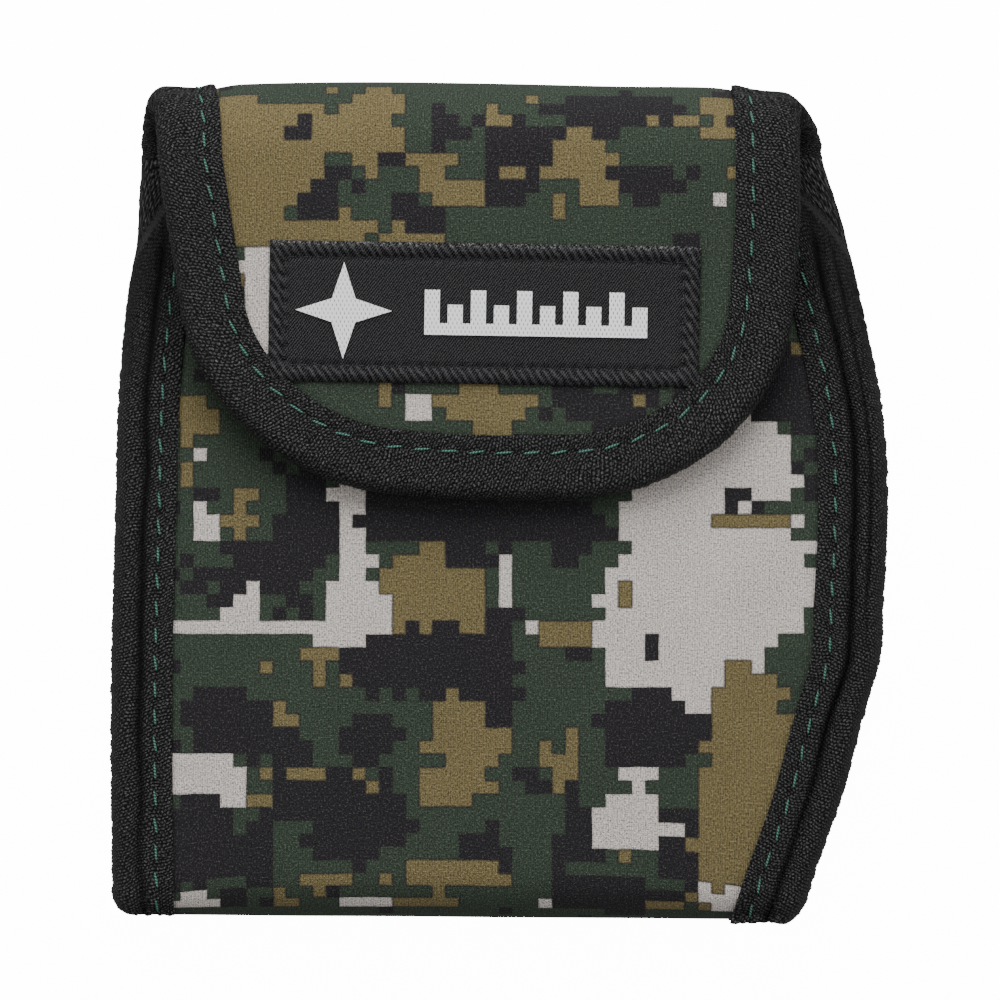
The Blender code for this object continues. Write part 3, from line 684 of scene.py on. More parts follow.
def hookNylon():
    look = Look("hookNylon")
    u, v = look.uv()
    weave = ripple(u, 0.5) * ripple(v, 0.5)
    grain = look.noise(look.point(u, v), 0.4 * mm)
    look.bump(weave + grain, 0.08 * mm)
    return look.finish(**{
        "Base Color": look.mix(grain, rgb(20, 20, 21), rgb(52, 52, 54)),
        "Roughness": 0.45,
    })


looks = {
    "printedKnit": printedKnit(),
    "liningKnit": plainKnit("liningKnit", rgb(24, 24, 26)),
    "foam": foamRubber(),
    "tape": grosgrain(),
    "greenThread": twistedThread("greenThread", rgb(20, 54, 47), rgb(78, 134, 117)),
    "blackThread": twistedThread("blackThread", rgb(6, 6, 7), rgb(34, 34, 36)),
    "label": labelTwill(),
    "mark": wovenMark(),
    "loops": brushedLoops(),
    "hooks": hookNylon(),
}
print("materials made")


# Building and placing pieces


sharpAngle = math.radians(62)


def addPiece(name, form, look, slot, body, replaced=()):
    # turns a bmesh in millimetres into a finished piece, parented to a body when one is named, else left in
    # place
    bmesh.ops.scale(form, vec=(mm, mm, mm), verts=form.verts)
    mesh = bpy.data.meshes.new(name)
    form.to_mesh(mesh)
    form.free()
    mesh.shade_smooth()
    mesh.set_sharp_from_angle(angle=sharpAngle)
    mesh.materials.append(looks[look])
    obj = bpy.data.objects.new(name, mesh)
    bpy.context.scene.collection.objects.link(obj)
    if isinstance(body, str):
        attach(obj, body)
    else:
        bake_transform(obj)
    if replaced:
        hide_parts(*replaced)
    return obj


def shell(form, place, clothAt):
    # gives a flat form its two sides, and lays them: place(a, b, side) has side 0 outside and 1 inside
    cloth = form.loops.layers.uv.new("cloth")
    made = bmesh.ops.extrude_face_region(form, geom=form.faces[:], use_keep_orig=True)
    inner = {part for part in made["geom"] if isinstance(part, bmesh.types.BMVert)}
    for face in form.faces:
        for loop in face.loops:
            u, v = clothAt(loop.vert.co.x, loop.vert.co.y)
            loop[cloth].uv = (u * mm, v * mm)
    for vert in form.verts:
        vert.co = place(vert.co.x, vert.co.y, 1 if vert in inner else 0)
    bmesh.ops.recalc_face_normals(form, faces=form.faces[:])
    return form


def flatGrid(columns, rows):
    form = bmesh.new()
    bmesh.ops.create_grid(form, x_segments=columns, y_segments=rows, size=0.5)
    bmesh.ops.translate(form, verts=form.verts, vec=(0.5, 0.5, 0))
    return form


def cutSheet(outline, step):
    # a flat sheet with that outline, cut into squares so that it can curve and be printed
    form = bmesh.new()
    form.faces.new([form.verts.new((x, y, 0)) for x, y in outline])
    for axis in (0, 1):
        reach = [point[axis] for point in outline]
        for number in range(math.ceil(min(reach) / step), math.floor(max(reach) / step) + 1):
            at = [number * step if axis == k else 0 for k in range(3)]
            normal = [1 if axis == k else 0 for k in range(3)]
            geom = form.verts[:] + form.edges[:] + form.faces[:]
            bmesh.ops.bisect_plane(form, geom=geom, plane_co=at, plane_no=normal, dist=0.03)
    return form


def seamTable(placeAt, low, high, probe, count=500):
    # pairs of (length along the seam, station), for even steps along it
    table = [(0.0, low)]
    before = probe(placeAt(low))
    for i in range(1, count + 1):
        station = low + (high - low) * i / count
        here = probe(placeAt(station))
        table.append((table[-1][0] + (here - before).length, station))
        before = here
    return table


def stationAt(table, length):
    length = min(max(length, 0.0), table[-1][0])
    low, high = 0, len(table) - 1
    while high - low > 1:
        half = (low + high) // 2
        if table[half][0] <= length:
            low = half
        else:
            high = half
    span = table[high][0] - table[low][0]
    share = 0.0 if span == 0 else (length - table[low][0]) / span
    return table[low][1] + (table[high][1] - table[low][1]) * share


def stitchSpots(length):
    # middles of the stitches along a seam of that length
    count = max(1, round((length - 1.0) / stitch["pitch"]))
    pitch = length / count
    return [(i + 0.5) * pitch for i in range(count)]


def stitchDip(length, along, away):
    # how deep the thread has pulled the tape in, near a seam
    count = max(1, round((length - 1.0) / stitch["pitch"]))
    pitch = length / count
    beside = math.exp(-((away / 0.75) ** 2))
    ends = abs(((along / pitch) % 1.0) - 0.5) * 2  # 0 in a stitch's middle, 1 between two
    return stitch["dip"] * beside * (0.35 + 0.65 * ramp((ends - 0.45) / 0.4))


class Band:
    # a tape folded over an edge, laid along a seam
    def __init__(self, placeAt, low, high, reach, edge=3.0, profile=None, cushion=0.35, outer=1, shade=None):
        self.placeAt = lru_cache(maxsize=None)(placeAt)
        self.reach = reach
        self.profile = profile or (lambda station, distance, side: 0.0)
        self.shade = shade or (lambda station, distance: 0.0)
        self.edge = edge
        self.cushion = cushion
        probe = reach(low) * 0.6
        self.table = seamTable(placeAt, low, high, lambda place: place(probe, outer, pouch["proud"]))
        self.length = self.table[-1][0]
        self.ribs = max(1, round(self.length / tape["ribPitch"]))
        self.station = lru_cache(maxsize=None)(lambda along: stationAt(self.table, along))

    def point(self, along, w, lift=0.0):
        # w runs from -1, the inner edge on the outside, by 0, the folded edge, to 1
        station = self.station(along)
        place, reach = self.placeAt(station), self.reach(station)
        side = 1 if w < 0 else -1
        lift += pouch["proud"] - tape["thickness"] / 2
        distance = self.edge + (reach - self.edge) * (abs(w) - 0.4) / 0.6
        if abs(w) > 0.4:
            share = (abs(w) - 0.4) / 0.6
            lift -= stitchDip(self.length, along, distance - (reach - tape["stitchInset"]))
            lift += self.profile(station, distance, side) + self.cushion * ramp(1 - share * 1.6)
            lift -= 0.25 * ramp((share - 0.93) / 0.07)
            return place(distance, side, lift)
        turn = math.radians(90) * w / 0.4
        front, back = place(self.edge, 1, pouch["proud"]), place(self.edge, -1, pouch["proud"])
        tip = (place(0, 1, pouch["proud"]) + place(0, -1, pouch["proud"])) / 2
        middle, half = (front + back) / 2, (front - back) / 2
        shape = self.profile(station, self.edge, side) * abs(math.sin(turn))
        puff = lift - pouch["proud"] + self.cushion + shape
        high = half + half.normalized() * puff
        out = tip - middle
        scallop = tape["scallop"] * noise.noise(Vector((along / 1.1, 0.3, self.length)))
        out += out.normalized() * (lift - pouch["proud"] + scallop)
        return middle - high * math.sin(turn) + out * math.cos(turn)

    def form(self, columns):
        ribs = self.ribs
        form = flatGrid(columns, ribs * tape["samplesPerRib"])

        def wAt(a):
            # the visible side has more of the columns than the inner one
            return -1 + 2 * (a * 0.75 if a < 0.6 else 0.45 + (a - 0.6) * 1.375)

        # a colour layer of painted shade, darker in a side tape's groove and crease
        layer = form.loops.layers.float_color.new("folds")
        for face in form.faces:
            for loop in face.loops:
                w, station = wAt(loop.vert.co.x), self.station(round(loop.vert.co.y * self.length, 4))
                distance = self.edge + (self.reach(station) - self.edge) * (-w - 0.4) / 0.6
                clear = 1.0 - self.shade(station, distance)
                loop[layer] = (clear, clear, clear, 1.0)

        runs = []
        count = 24
        for step in range(count + 1):
            along = self.length * step / count
            spots = [self.point(along, wAt(i / columns)) for i in range(columns + 1)]
            run = [0.0]
            for before, here in zip(spots, spots[1:]):
                run.append(run[-1] + (here - before).length)
            turn = run[round(columns * 0.64)]
            runs.append([r - turn for r in run])

        def widthAt(a, b):
            i, step = round(a * columns), min(int(b * count), count - 1)
            return runs[step][i] + (runs[step + 1][i] - runs[step][i]) * (b * count - step)

        def place(a, b, side):
            rib = math.cos(2 * math.pi * b * ribs) * ramp(min(b, 1 - b) * ribs / 2)
            uneven = 0.8 + 0.5 * noise.noise(Vector((round(b * ribs) * 0.7, widthAt(a, b) / 3, 1.3)))
            lift = tape["thickness"] * (0.5 - side) + tape["ribHeight"] * rib * uneven
            return self.point(round(b * self.length, 4), wAt(a), lift)

        def clothAt(a, b):
            return (b * ribs + 0.5) * tape["ribPitch"], widthAt(a, b)

        return shell(form, place, clothAt)

    def stitches(self, side):
        # one short grain-shaped float of thread for each stitch
        form = bmesh.new()
        cloth = form.loops.layers.uv.new("cloth")
        for number, along in enumerate(stitchSpots(self.length)):
            reach = self.reach(self.station(along))
            w = 0.4 + 0.6 * (reach - tape["stitchInset"] - self.edge) / (reach - self.edge)
            half = stitch["length"] / 2
            half *= 0.94 + 0.1 * math.sin(number * 5.1)
            top = tape["thickness"] / 2 - stitch["bury"] * (0.5 + 0.5 * math.sin(number * 3.7))
            ends = [self.point(along + t, -side * w, top) for t in (-half, half)]
            middle = self.point(along, -side * w, top)
            lean = 0.12 + 0.07 * math.sin(number * 2.3)
            addGrain(form, cloth, middle, ends, self.upAt(along, -side * w), lean, stitch)
        return form

    def upAt(self, along, w):
        return (self.point(along, w, 1.0) - self.point(along, w)).normalized()


def addGrain(form, cloth, middle, ends, up, lean, size):
    along = (ends[1] - ends[0]).normalized()
    beside = up.cross(along).normalized()
    along = (along + beside * lean).normalized()
    beside = up.cross(along).normalized()
    up = along.cross(beside)
    turn = Matrix((along, beside, up)).transposed().to_4x4()
    scale = Matrix.Diagonal((size["length"] / 2, size["width"] / 2, size["height"] / 2, 1))
    at = Matrix.Translation(middle + up * (size["height"] * 0.32))
    lying = Matrix.Rotation(math.radians(90), 4, "Y")
    verts = bmesh.ops.create_uvsphere(form, u_segments=8, v_segments=7, radius=1.0, matrix=lying)["verts"]
    for vert in verts:
        x = vert.co.x
        vert.co.x = math.copysign(abs(x) ** 0.75, x)
    for face in {face for vert in verts for face in vert.link_faces}:
        for loop in face.loops:
            co = loop.vert.co
            loop[cloth].uv = (co.x * size["length"] / 2 * mm, math.atan2(co.z, co.y) / (2 * math.pi))
    bmesh.ops.transform(form, matrix=at @ turn @ scale, verts=verts)


def makeTape(name, band, body, node, columns=56):
    return addPiece(name, band.form(columns), "tape", "binding_tape", body, node)


def makeStitches(name, band, side, body, node, look="greenThread", slot="green_thread"):
    return addPiece(name, band.stitches(side), look, slot, body, node)


# Body: one strip from the mouth, down the front, round the bottom and up the back

layers = (
    ("FaceFabric", "face_fabric", 0.0, 0.6, camo["cell"] / 2, "camo_knit"),
    ("Foam", "foam", 0.9, 1.8, 3.2, "foam_rubber"),
    ("Lining", "lining", 3.0, 0.6, 2.4, "lining_knit"),
)
layerLooks = {"Foam": "foam", "Lining": "liningKnit"}


def pucker(distance, along, reach, strength=0.22):
    # the knit swells between the stitches where it comes out from under the tape
    beside = math.exp(-(((distance - reach - 1.6) / 2.4) ** 2))
    return strength * beside * (0.5 - 0.5 * math.cos(2 * math.pi * along / stitch["pitch"]))


def wander(u, v):
    # small strays of the print's cell edges
    shift = noise.noise_vector(Vector((u / 2.2, v / 2.2, 4.4))) * camo["wander"]
    return u + shift.x, v + shift.y


def makeSheets(name, nodes, body, outline, pointAt, patches, seed, swell):
    # the laminate's three layers, all with the same outline
    for layer, node, depth, thickness, step, slot in layers:
        printed = layer == "FaceFabric"
        form = cutSheet(outline, step)
        if printed:
            dye(form, patches, seed)

        def place(u, v, side, depth=depth, thickness=thickness, printed=printed):
            spot = wander(u, v) if printed else (u, v)
            at = pointAt(*spot, depth + thickness * side)
            return at + swell(u, v) if printed and side == 0 else at

        shell(form, place, lambda u, v: (u, v))
        look = layerLooks.get(layer, "printedKnit")
        piece = addPiece(name + layer, form, look, slot, body, (nodes + node,) if nodes else ())


def bodySwell(u, v):
    where, y = bodySpot(u, v)
    if where == "fold":
        return Vector((0, 0, 0))
    near = min(u - leftEdge(round(y, 1)) - 0.4, rightEdge(round(y, 1)) - u - 1.6)
    return Vector((0, 0, pucker(near, y, tape["bodyReach"]) * (1 if where == "front" else -1)))


makeSheets("body", "body_", "pouch", bodyOutline(), bodyPoint, frontPatches, 2.3, bodySwell)
print("body made")


def folded(x, y):
    # heights of the back and of the front, which meet round the bottom fold
    low, high = backHeight(x, y), frontHeight(x, y)
    if y > -pouch["halfLength"] + 12:
        return low, high
    centre, radius, middle = bottomFold(x)
    if y >= centre:
        return low, high
    half = radius * max(0.35, 1 - ((centre - y) / radius) ** 2) ** 0.5
    return middle - half, middle + half


def sidePlace(sign, station):
    # sections of a side seam: past the mouth's corner the tape holds the back alone
    mouth, gap, drop = pouch["mouth"], pouch["gap"], pouch["tapeDrop"]
    dropped = mouth + gap + drop
    if station < mouth:
        slant = max(0.0, (station - pouch["slantStarts"]) / (mouth - pouch["slantStarts"]))
    else:
        slant = min(1.0, (foldY - station) / (foldY - dropped))
    alone = ramp((station - mouth - gap) / drop)

    def place(distance, side, lift):
        y = station - (mouth - mouthEdge(distance)) * slant
        x = sign * distance + (leftEdge(y) if sign > 0 else rightEdge(y))
        end, (inward, length) = pouch["seamEnds"][0 if sign > 0 else 1], pouch["tapeCorner"]
        turned = min(1.0, max(0.0, (end + length - y) / length))
        x += sign * inward * turned**3 * max(0.0, 1 - distance / 6)
        y += pouch["ragged"] * noise.noise(Vector((distance / 0.9, sign, 0.5))) * ramp((end + 1.2 - y) / 1.2)
        y -= pouch["lean"] * x * ramp((-60 - y) / 15)
        low, high = folded(x, y)
        if side < 0:
            return Vector((x, y, low - lift))
        return Vector((x, y, high + (low + pouch["sheet"] - high) * alone + lift))

    return place


def foldPlace(sign, angle):
    edge = foldEdges(angle)[0 if sign > 0 else 1]

    def place(distance, side, lift):
        height = lift if side < 0 else -pouch["sheet"] - lift
        return foldPoint(edge + sign * distance, angle, height)

    return place


def foldsAt(side, station, distance):
    # a side tape's rounded outer part, a groove, then the flatter inner part: how far a point is from the
    # groove, how far it strays, and how strong groove and crease are there, in shape and painted shade
    stray = 0.8 * noise.noise(Vector((station / 14, 0.7, len(side))))
    return distance - tape[side]["grooveAt"] - stray, stray, ramp((pouch["mouth"] + 2 - station) / 12)


def creaseAt(side, station, off, stray):
    return tape[side]["crease"] * math.exp(-(((off + 2.9 + stray) / 0.5) ** 2)) * ramp((station + 40) / 30)


def sideProfile(side):
    shape = tape[side]

    def profile(station, distance, face):
        off, stray, fades = foldsAt(side, station, distance)
        dent = shape["groove"] * math.exp(-((off / 0.55) ** 2))
        outer = shape["bulge"] * math.sin(math.pi * ramp(distance / (shape["grooveAt"] + stray))) ** 0.7
        inside = off / (shape["reach"] - tape["stitchInset"] - shape["grooveAt"])
        inner = shape["inner"] * math.sin(math.pi * min(1.0, max(0.0, inside))) ** 0.7
        crease = creaseAt(side, station, off, stray)
        return (outer + inner - dent - crease) * fades * (1.0 if face > 0 else 0.4)

    return profile


def sideShade(side):
    def shade(station, distance):
        # painted shade: how much darker the tape is painted in its groove and crease
        off, stray, fades = foldsAt(side, station, distance)
        groove = math.exp(-((off / 0.75) ** 2)) * (0.6 + 0.5 * ramp((station + 70) / 40))
        return 0.85 * fades * min(1.0, groove + 0.8 * creaseAt(side, station, off, stray))

    return shade


sides = (("left", 1), ("right", -1))
for side, sign in sides:
    reach = tape[side]["reach"]
    band = Band(
        lambda station, sign=sign: sidePlace(sign, station), pouch["seamEnds"][0 if sign > 0 else 1], foldY,
        lambda station, reach=reach: reach, 3.2, sideProfile(side), tape["cushion"],
        1, sideShade(side),
    )  # fmt: skip
    makeTape(side + "SideTape", band, "pouch", (side + "_side_binding",), 64)
    makeStitches(side + "SeamStitches", band, 1, "pouch", (side + "_seam_needle_thread",))
    makeStitches(side + "SeamBackStitches", band, -1, "pouch", (side + "_seam_bobbin_thread",))
print("side tapes made")


def mouthPlace(x):
    def place(distance, side, lift):
        y = pouch["mouth"] + pouch["proud"] - distance
        height = frontHeight(x, y)
        return Vector((x, y, height + lift if side > 0 else height - pouch["sheet"] - lift))

    return place


mouthClear = tape["bodyReach"] + 1.0
mouthEnds = (leftEdge(pouch["mouth"]) + mouthClear, rightEdge(pouch["mouth"]) - mouthClear - 1.5)
mouthBand = Band(mouthPlace, *mouthEnds, lambda x: tape["bodyReach"] - 0.4, 2.4, None, 0.0)
makeTape("mouthTape", mouthBand, "pouch", ("mouth_binding",), 34)
makeStitches("mouthStitches", mouthBand, 1, "pouch", ("mouth_needle_thread",))
makeStitches("mouthBackStitches", mouthBand, -1, "pouch", ("mouth_bobbin_thread",))
print("mouth made")


# Top fold: three pieces of each strip, each a third of the half turn

foldParts = (
    ("Lower", 0, 60, ("pouch", "fold_lower"), "fold_lower_"),
    ("Middle", 60, 120, ("fold_lower", "fold_upper"), None),
    ("Upper", 120, 180, ("fold_upper", "flap"), "fold_upper_"),
)


def blendOver(bodies, low, high, depth):
    return (*bodies, foldPoint(0, low, -depth) * mm, foldPoint(0, high, -depth) * mm)


def foldPieceAt(u, v, depth):
    return foldPoint(u, 180 - math.degrees((v - foldY) / foldRadius), -depth)


def foldOutline(low, high):
    rows = 12
    levels = [low + (high - low) * i / rows for i in range(rows + 1)]
    inset = tape["sheetEdge"]

    def spot(angle, side):
        edge = foldEdges(angle)[side] + (inset if side == 0 else -inset)
        return edge, foldY + math.radians(180 - angle) * foldRadius

    return [spot(angle, 0) for angle in levels] + [spot(angle, 1) for angle in reversed(levels)]


def foldReach(side, angle):
    share = ramp(angle / 180)
    return tape[side]["reach"] * (1 - share) + tape["flapReach"] * share


def noSwell(u, v):
    return Vector((0, 0, 0))


def makeFold():
    for part, low, high, bodies, nodes in foldParts:
        bend = blendOver(bodies, low, high, pouch["sheet"])
        makeSheets("fold" + part, nodes, bend, foldOutline(low, high), foldPieceAt, flapPatches, 5.9, noSwell)
        for side, sign in sides:
            band = Band(
                lambda angle, sign=sign: foldPlace(sign, angle), low, high,
                lambda angle, side=side: foldReach(side, angle), 2.8, None, tape["cushion"], -1,
            )  # fmt: skip
            bend = blendOver(bodies, low, high, pouch["sheet"] + pouch["proud"])
            tapeNode = (nodes + side + "_binding",) if nodes else ()
            threadNode = (nodes + side + "_thread",) if nodes else ()
            makeTape("fold" + part + side.title() + "Tape", band, bend, tapeNode)
            makeStitches("fold" + part + side.title() + "Stitches", band, -1, bend, threadNode)


makeFold()
print("top fold made")


# Flap


def outlineAt(run):
    # point and inward direction, run from 0 to 1 round the flap's edge
    place = run * (len(flapEdge) - 1)
    i = min(int(place), len(flapEdge) - 2)
    point = flapEdge[i].lerp(flapEdge[i + 1], place - i)
    low, high = max(i - 2, 0), min(i + 3, len(flapEdge) - 1)
    ahead = (flapEdge[high] - flapEdge[low]).normalized()
    inward = Vector((-ahead.y, ahead.x))
    square = Vector((1 if run < 0.5 else -1, 0))  # the ends meet the fold squarely
    return point, square.lerp(inward, ramp((foldY - point.y) / 14)).normalized()


def flapPlace(run):
    point, inward = outlineAt(run)

    def place(distance, side, lift):
        at = point + inward * distance
        at.y = min(at.y, foldY)
        return flapPoint(at.x, at.y, lift if side > 0 else -pouch["sheet"] - lift)

    return place


flapRim = kdtree.KDTree(len(flapEdge))
for i, spot in enumerate(flapEdge):
    flapRim.insert((*spot, 0), i)
flapRim.balance()


def flapSwell(u, v):
    inside = flapRim.find((u, v, 0))[2]
    return Vector((0, 0, pucker(inside, u + v, tape["flapReach"]) * ramp((foldY - v) / 8)))


def flapInset():
    # the laminate's outline lies inside the tape's folded edge
    count = len(flapEdge) - 1
    spots = [outlineAt(i / count) for i in range(count + 1)]
    return [point + inward * tape["sheetEdge"] for point, inward in spots]


def flapInside():
    outline = [point for point in flapInset() if point.y < foldY - 0.3]
    left, right = flapRoot[0] + tape["sheetEdge"], flapRoot[1] - tape["sheetEdge"]
    return [(left, foldY), *(tuple(point) for point in outline), (right, foldY)]


makeSheets(
    "flap", "flap_", "flap", flapInside(), lambda u, v, depth: flapPoint(u, v, -depth),
    flapPatches, 5.9, flapSwell,
)
flapBand = Band(flapPlace, 0.0, 1.0, lambda run: tape["flapReach"], 2.8, None, tape["cushion"])
makeTape("flapTape", flapBand, "flap", ("flap_binding",))
makeStitches("flapStitches", flapBand, 1, "flap", ("flap_needle_thread",))
makeStitches("flapBackStitches", flapBand, -1, "flap", ("flap_bobbin_thread",))
print("flap made")


# Woven label, with generic marks: a compass star and a scale bar

label = {
    "size": (76.6, 25.0),
    "place": (-2.6, 33.3),
    "turn": math.radians(-0.9),
    "lift": 0.3,
    "thickness": 0.6,
    "hem": 2.9,  # the seam's distance in from the edge
    "stitch": {"pitch": 2.5, "length": 1.9, "width": 0.42, "height": 0.34},
    "step": 0.45,
}
marks = {
    "thickness": 0.28,
    "star": (-25.0, 0.2),
    "starRadii": (8.6, 3.0),
    "barStart": (-10.6, -3.9),
    "barTicks": 10,
    "tickPitch": 4.1,
    "tickWidth": 2.7,
    "tickHeights": (8.0, 5.4),
    "base": 2.1,
}


def labelSpot(u, v):
    c, s = math.cos(label["turn"]), math.sin(label["turn"])
    return label["place"][0] + u * c - v * s, label["place"][1] + u * s + v * c


def labelHeight(u, v):
    # the ribbon's top: sunk along its seam, puckered outside it
    halfWidth, halfHeight = label["size"][0] / 2, label["size"][1] / 2
    inside = min(halfWidth - abs(u), halfHeight - abs(v))
    along = u if halfHeight - abs(v) < halfWidth - abs(u) else v
    dip = 0.6 * math.exp(-(((inside - label["hem"]) / 0.55) ** 2))
    ends = 0.5 + 0.5 * math.cos(2 * math.pi * along / label["stitch"]["pitch"])
    hem = (0.3 + 0.4 * ends) * math.exp(-(((inside - 1.4) / 1.0) ** 2))
    hem += 0.2 * noise.noise(Vector((u / 0.9, v / 0.9, 1.7))) * ramp((label["hem"] - inside) / 1.5)
    roll = 0.35 * ramp(1 - inside / 0.8)
    x, y = labelSpot(u, v)
    return flapHeight(x, y) + label["lift"] + label["thickness"] - dip * (1.3 - ends) + hem - roll


def makeLabel():
    width, height = label["size"]

    def place(a, b, side):
        u, v = (a - 0.5) * width, (b - 0.5) * height
        x, y = labelSpot(u, v)
        return Vector((x, y, labelHeight(u, v) - label["thickness"] * side))

    form = flatGrid(round(width / label["step"]), round(height / label["step"]))
    shell(form, place, lambda a, b: ((a - 0.5) * width, (b - 0.5) * height))
    addPiece("label", form, "label", "label_satin", "flap", ("label",))


def rectangleStitches(size, margin, pitch):
    # the middle, the axis and the number of each stitch round a rectangle
    halves = [side / 2 - margin for side in size]
    for axis in (0, 1):
        count = round(2 * halves[axis] / pitch)
        for end in (-1, 1):
            for i in range(count):
                along = -halves[axis] + (i + 0.5) * 2 * halves[axis] / count
                yield ((along, end * halves[1]) if axis == 0 else (end * halves[0], along)), axis, i


def makeLabelStitches():
    form = bmesh.new()
    cloth = form.loops.layers.uv.new("cloth")
    size = label["stitch"]

    def spot(u, v):
        return Vector((*labelSpot(u, v), labelHeight(u, v)))

    for (u, v), axis, i in rectangleStitches(label["size"], label["hem"], size["pitch"]):
        along, beside = (0.5, 0) if axis == 0 else (0, 0.5)
        ends = [spot(u - along, v - beside), spot(u + along, v + beside)]
        addGrain(form, cloth, spot(u, v), ends, Vector((0, 0, 1)), 0.08 * math.sin(i * 1.9), size)
    addPiece("labelStitches", form, "blackThread", "black_thread", "flap", ("label_thread",))


def starOutline():
    points = []
    for i in range(8):
        turn, radius = math.radians(45 * i), marks["starRadii"][i % 2]
        x, y = marks["star"]
        points.append((x + radius * math.sin(turn), y + radius * math.cos(turn)))
    return points


def barOutline():
    left, low = marks["barStart"]
    foot = low + marks["base"]
    points = []
    for i in range(marks["barTicks"]):
        x, top = left + i * marks["tickPitch"], low + marks["tickHeights"][i % 2]
        points += [(x, foot), (x, top), (x + marks["tickWidth"], top), (x + marks["tickWidth"], foot)]
    points[0], points[-1] = (left, low), (points[-1][0], low)
    return points


def makeMark(name, outline, node):
    # the outline is cut out of a fine grid that follows the ribbon
    form = bmesh.new()
    face = form.faces.new([form.verts.new((u, v, 0)) for u, v in outline])
    bmesh.ops.triangulate(form, faces=[face], ngon_method="BEAUTY")
    for axis in (0, 1):
        low, high = min(p[axis] for p in outline), max(p[axis] for p in outline)
        count = round((high - low) / 1.2)
        for i in range(1, count):
            at, normal = [0, 0, 0], [0, 0, 0]
            at[axis], normal[axis] = low + (high - low) * i / count, 1
            geom = form.verts[:] + form.edges[:] + form.faces[:]
            bmesh.ops.bisect_plane(form, geom=geom, plane_co=at, plane_no=normal, dist=1e-6)

    def place(u, v, side):
        return Vector((*labelSpot(u, v), labelHeight(u, v) + 0.05 + marks["thickness"] * (1 - side)))

    shell(form, place, lambda u, v: (u, v))
    addPiece(name, form, "mark", "mark_weave", "flap", (node,))


makeLabel()
makeLabelStitches()
makeMark("labelStar", starOutline(), "label_compass_star")
makeMark("labelScaleBar", barOutline(), "label_scale_bar")
print("label made")


# Hook and loop patches

patch = {
    "size": (46.0, 18.0),
    "place": (-2.5, 26.0),
    "thickness": 1.1,
    "hookPitch": 1.15,
    "hook": {"foot": 0.2, "tip": 0.11, "height": 0.7, "bend": 0.25},
    "stitch": {"pitch": 2.7, "length": 2.0, "width": 0.45, "height": 0.4},
}


def patchHeight(x, y, under):
    if under:
        return flapHeight(x, y) - pouch["sheet"] - pouch["gap"] - patch["thickness"] / 2
    return frontHeight(x, y) + pouch["gap"] + patch["thickness"] / 2


def makePatch(name, look, slot, body, node, under):
    width, height = patch["size"]

    thickness = patch["thickness"] * (0.45 if under else 1.0)

    def place(a, b, side):
        x, y = patch["place"][0] + (a - 0.5) * width, patch["place"][1] + (b - 0.5) * height
        rough = 0.0 if under else 0.12 * noise.noise(Vector((x * 1.3, y * 1.3, 2.0)))
        return Vector((x, y, patchHeight(x, y, under) + rough + thickness * (0.5 - side)))

    form = flatGrid(round(width), round(height))
    shell(form, place, lambda a, b: (a * width, b * height))
    if under:
        addHooks(form)
    addPiece(name, form, look, slot, body, (node,))


def addHooks(form):
    # rows of small bent hooks under the flap
    cloth = form.loops.layers.uv["cloth"]
    width, height = patch["size"]
    base = patch["thickness"] * 0.225
    hook = patch["hook"]
    cone = {"segments": 5, "radius1": hook["foot"], "radius2": hook["tip"], "depth": hook["height"]}
    for i in range(round((width - 3) / patch["hookPitch"])):
        for j in range(round((height - 3) / patch["hookPitch"])):
            x = patch["place"][0] - width / 2 + 2 + i * patch["hookPitch"]
            y = patch["place"][1] - height / 2 + 2 + j * patch["hookPitch"]
            z = patchHeight(x, y, True) - base
            made = bmesh.ops.create_cone(form, cap_ends=True, **cone)
            for vert in made["verts"]:
                bent = hook["bend"] if vert.co.z > 0 else 0
                vert.co = Vector((x + vert.co.x + bent, y + vert.co.y, z - hook["bend"] - vert.co.z))
            for face in {f for v in made["verts"] for f in v.link_faces}:
                face.normal_flip()
                for loop in face.loops:
                    loop[cloth].uv = (loop.vert.co.x * mm, loop.vert.co.y * mm)


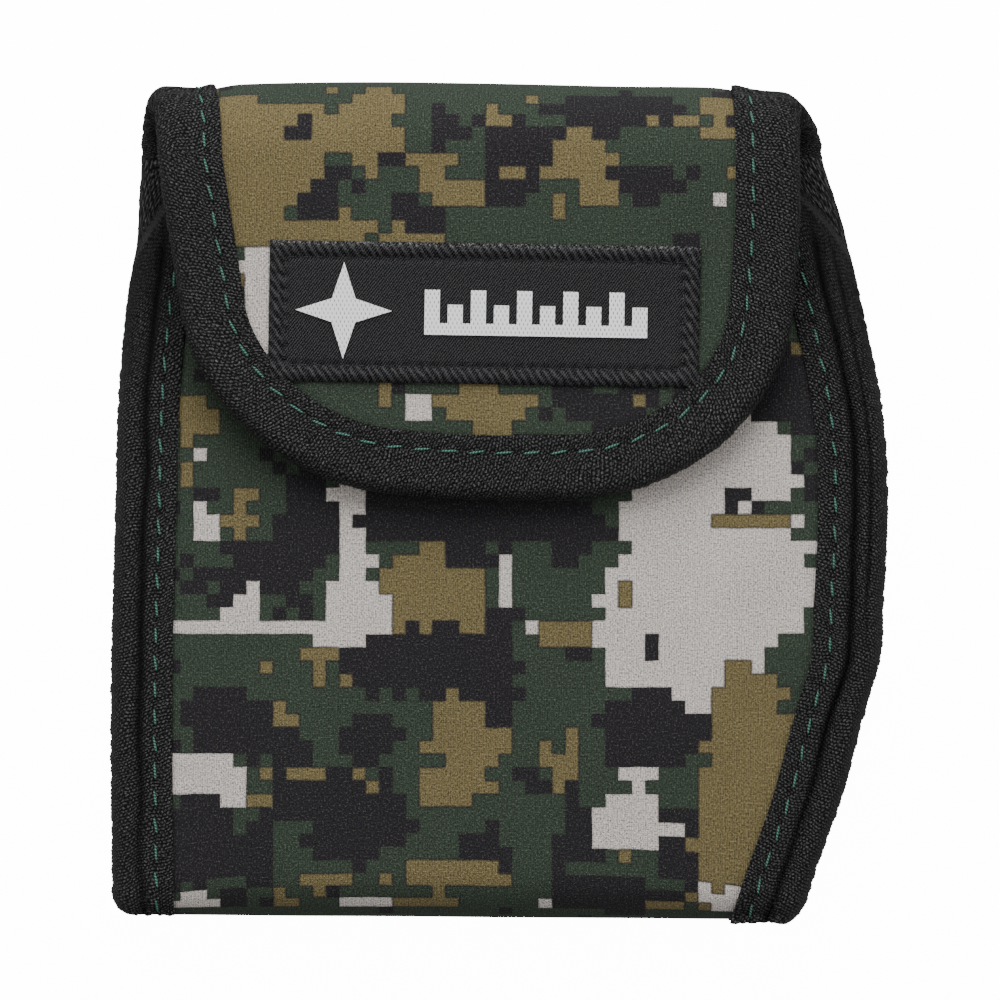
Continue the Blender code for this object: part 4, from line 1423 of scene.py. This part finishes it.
def makePatchStitches(name, body, node, lift, margin, under):
    form = bmesh.new()
    cloth = form.loops.layers.uv.new("cloth")
    size = patch["stitch"]
    for (x, y), axis, _ in rectangleStitches(patch["size"], margin, size["pitch"]):
        x, y = x + patch["place"][0], y + patch["place"][1]
        height = flapHeight(x, y) if under else frontHeight(x, y)
        middle = Vector((x, y, height - pouch["sheet"] - lift))
        step = Vector((1, 0, 0)) if axis == 0 else Vector((0, 1, 0))
        addGrain(form, cloth, middle, (middle - step, middle + step), Vector((0, 0, -1)), 0.0, size)
    addPiece(name, form, "blackThread", "black_thread", body, (node,))


makePatch("loopPatch", "loops", "loop_tape", "pouch", "loop_patch", False)
makePatch("hookPatch", "hooks", "hook_tape", "flap", "hook_patch", True)
makePatchStitches("loopPatchStitches", "pouch", "loop_patch_thread", 0.1, 2.0, False)
makePatchStitches("hookPatchStitches", "flap", "hook_patch_thread", 0.1, -0.8, True)
print("closure made")


# Floor and lights

studio = {
    "backdrop": 14.0,
    "key": ((-0.05, 0.58, 0.52), 0.6, 8.0),
    "fill": ((-0.9, -0.1, 0.9), 1.0, 4.5),
    "rim": ((0.9, 0.2, 0.8), 0.9, 4.5),
    "sky": 0.34,
}


def makeFloor():
    form = bmesh.new()
    bmesh.ops.create_grid(form, x_segments=1, y_segments=1, size=3.0)
    mesh = bpy.data.meshes.new("floor")
    form.to_mesh(mesh)
    form.free()
    paint = bpy.data.materials.new("floor")
    paint.use_nodes = True
    shader = paint.node_tree.nodes["Principled BSDF"]
    shader.inputs["Emission Color"].default_value = (1, 1, 1, 1)
    shader.inputs["Emission Strength"].default_value = studio["backdrop"]
    mesh.materials.append(paint)
    floor = bpy.data.objects.new("floor", mesh)
    floor.visible_diffuse = False  # it shows plain white, and lights nothing
    floor.visible_glossy = False
    bpy.context.scene.collection.objects.link(floor)


def makeLight(name):
    place, size, power = studio[name]
    lamp = bpy.data.lights.new(name, "AREA")
    lamp.energy = power
    lamp.size = size
    obj = bpy.data.objects.new(name, lamp)
    obj.location = place
    obj.rotation_euler = Vector(place).to_track_quat("Z", "Y").to_euler()
    bpy.context.scene.collection.objects.link(obj)


makeFloor()
for name in ("key", "fill", "rim"):
    makeLight(name)
world = bpy.data.worlds.new("studio")
world.use_nodes = True
world.node_tree.nodes["Background"].inputs["Color"].default_value = (1, 1, 1, 1)
world.node_tree.nodes["Background"].inputs["Strength"].default_value = studio["sky"]
bpy.context.scene.world = world
print("studio made")
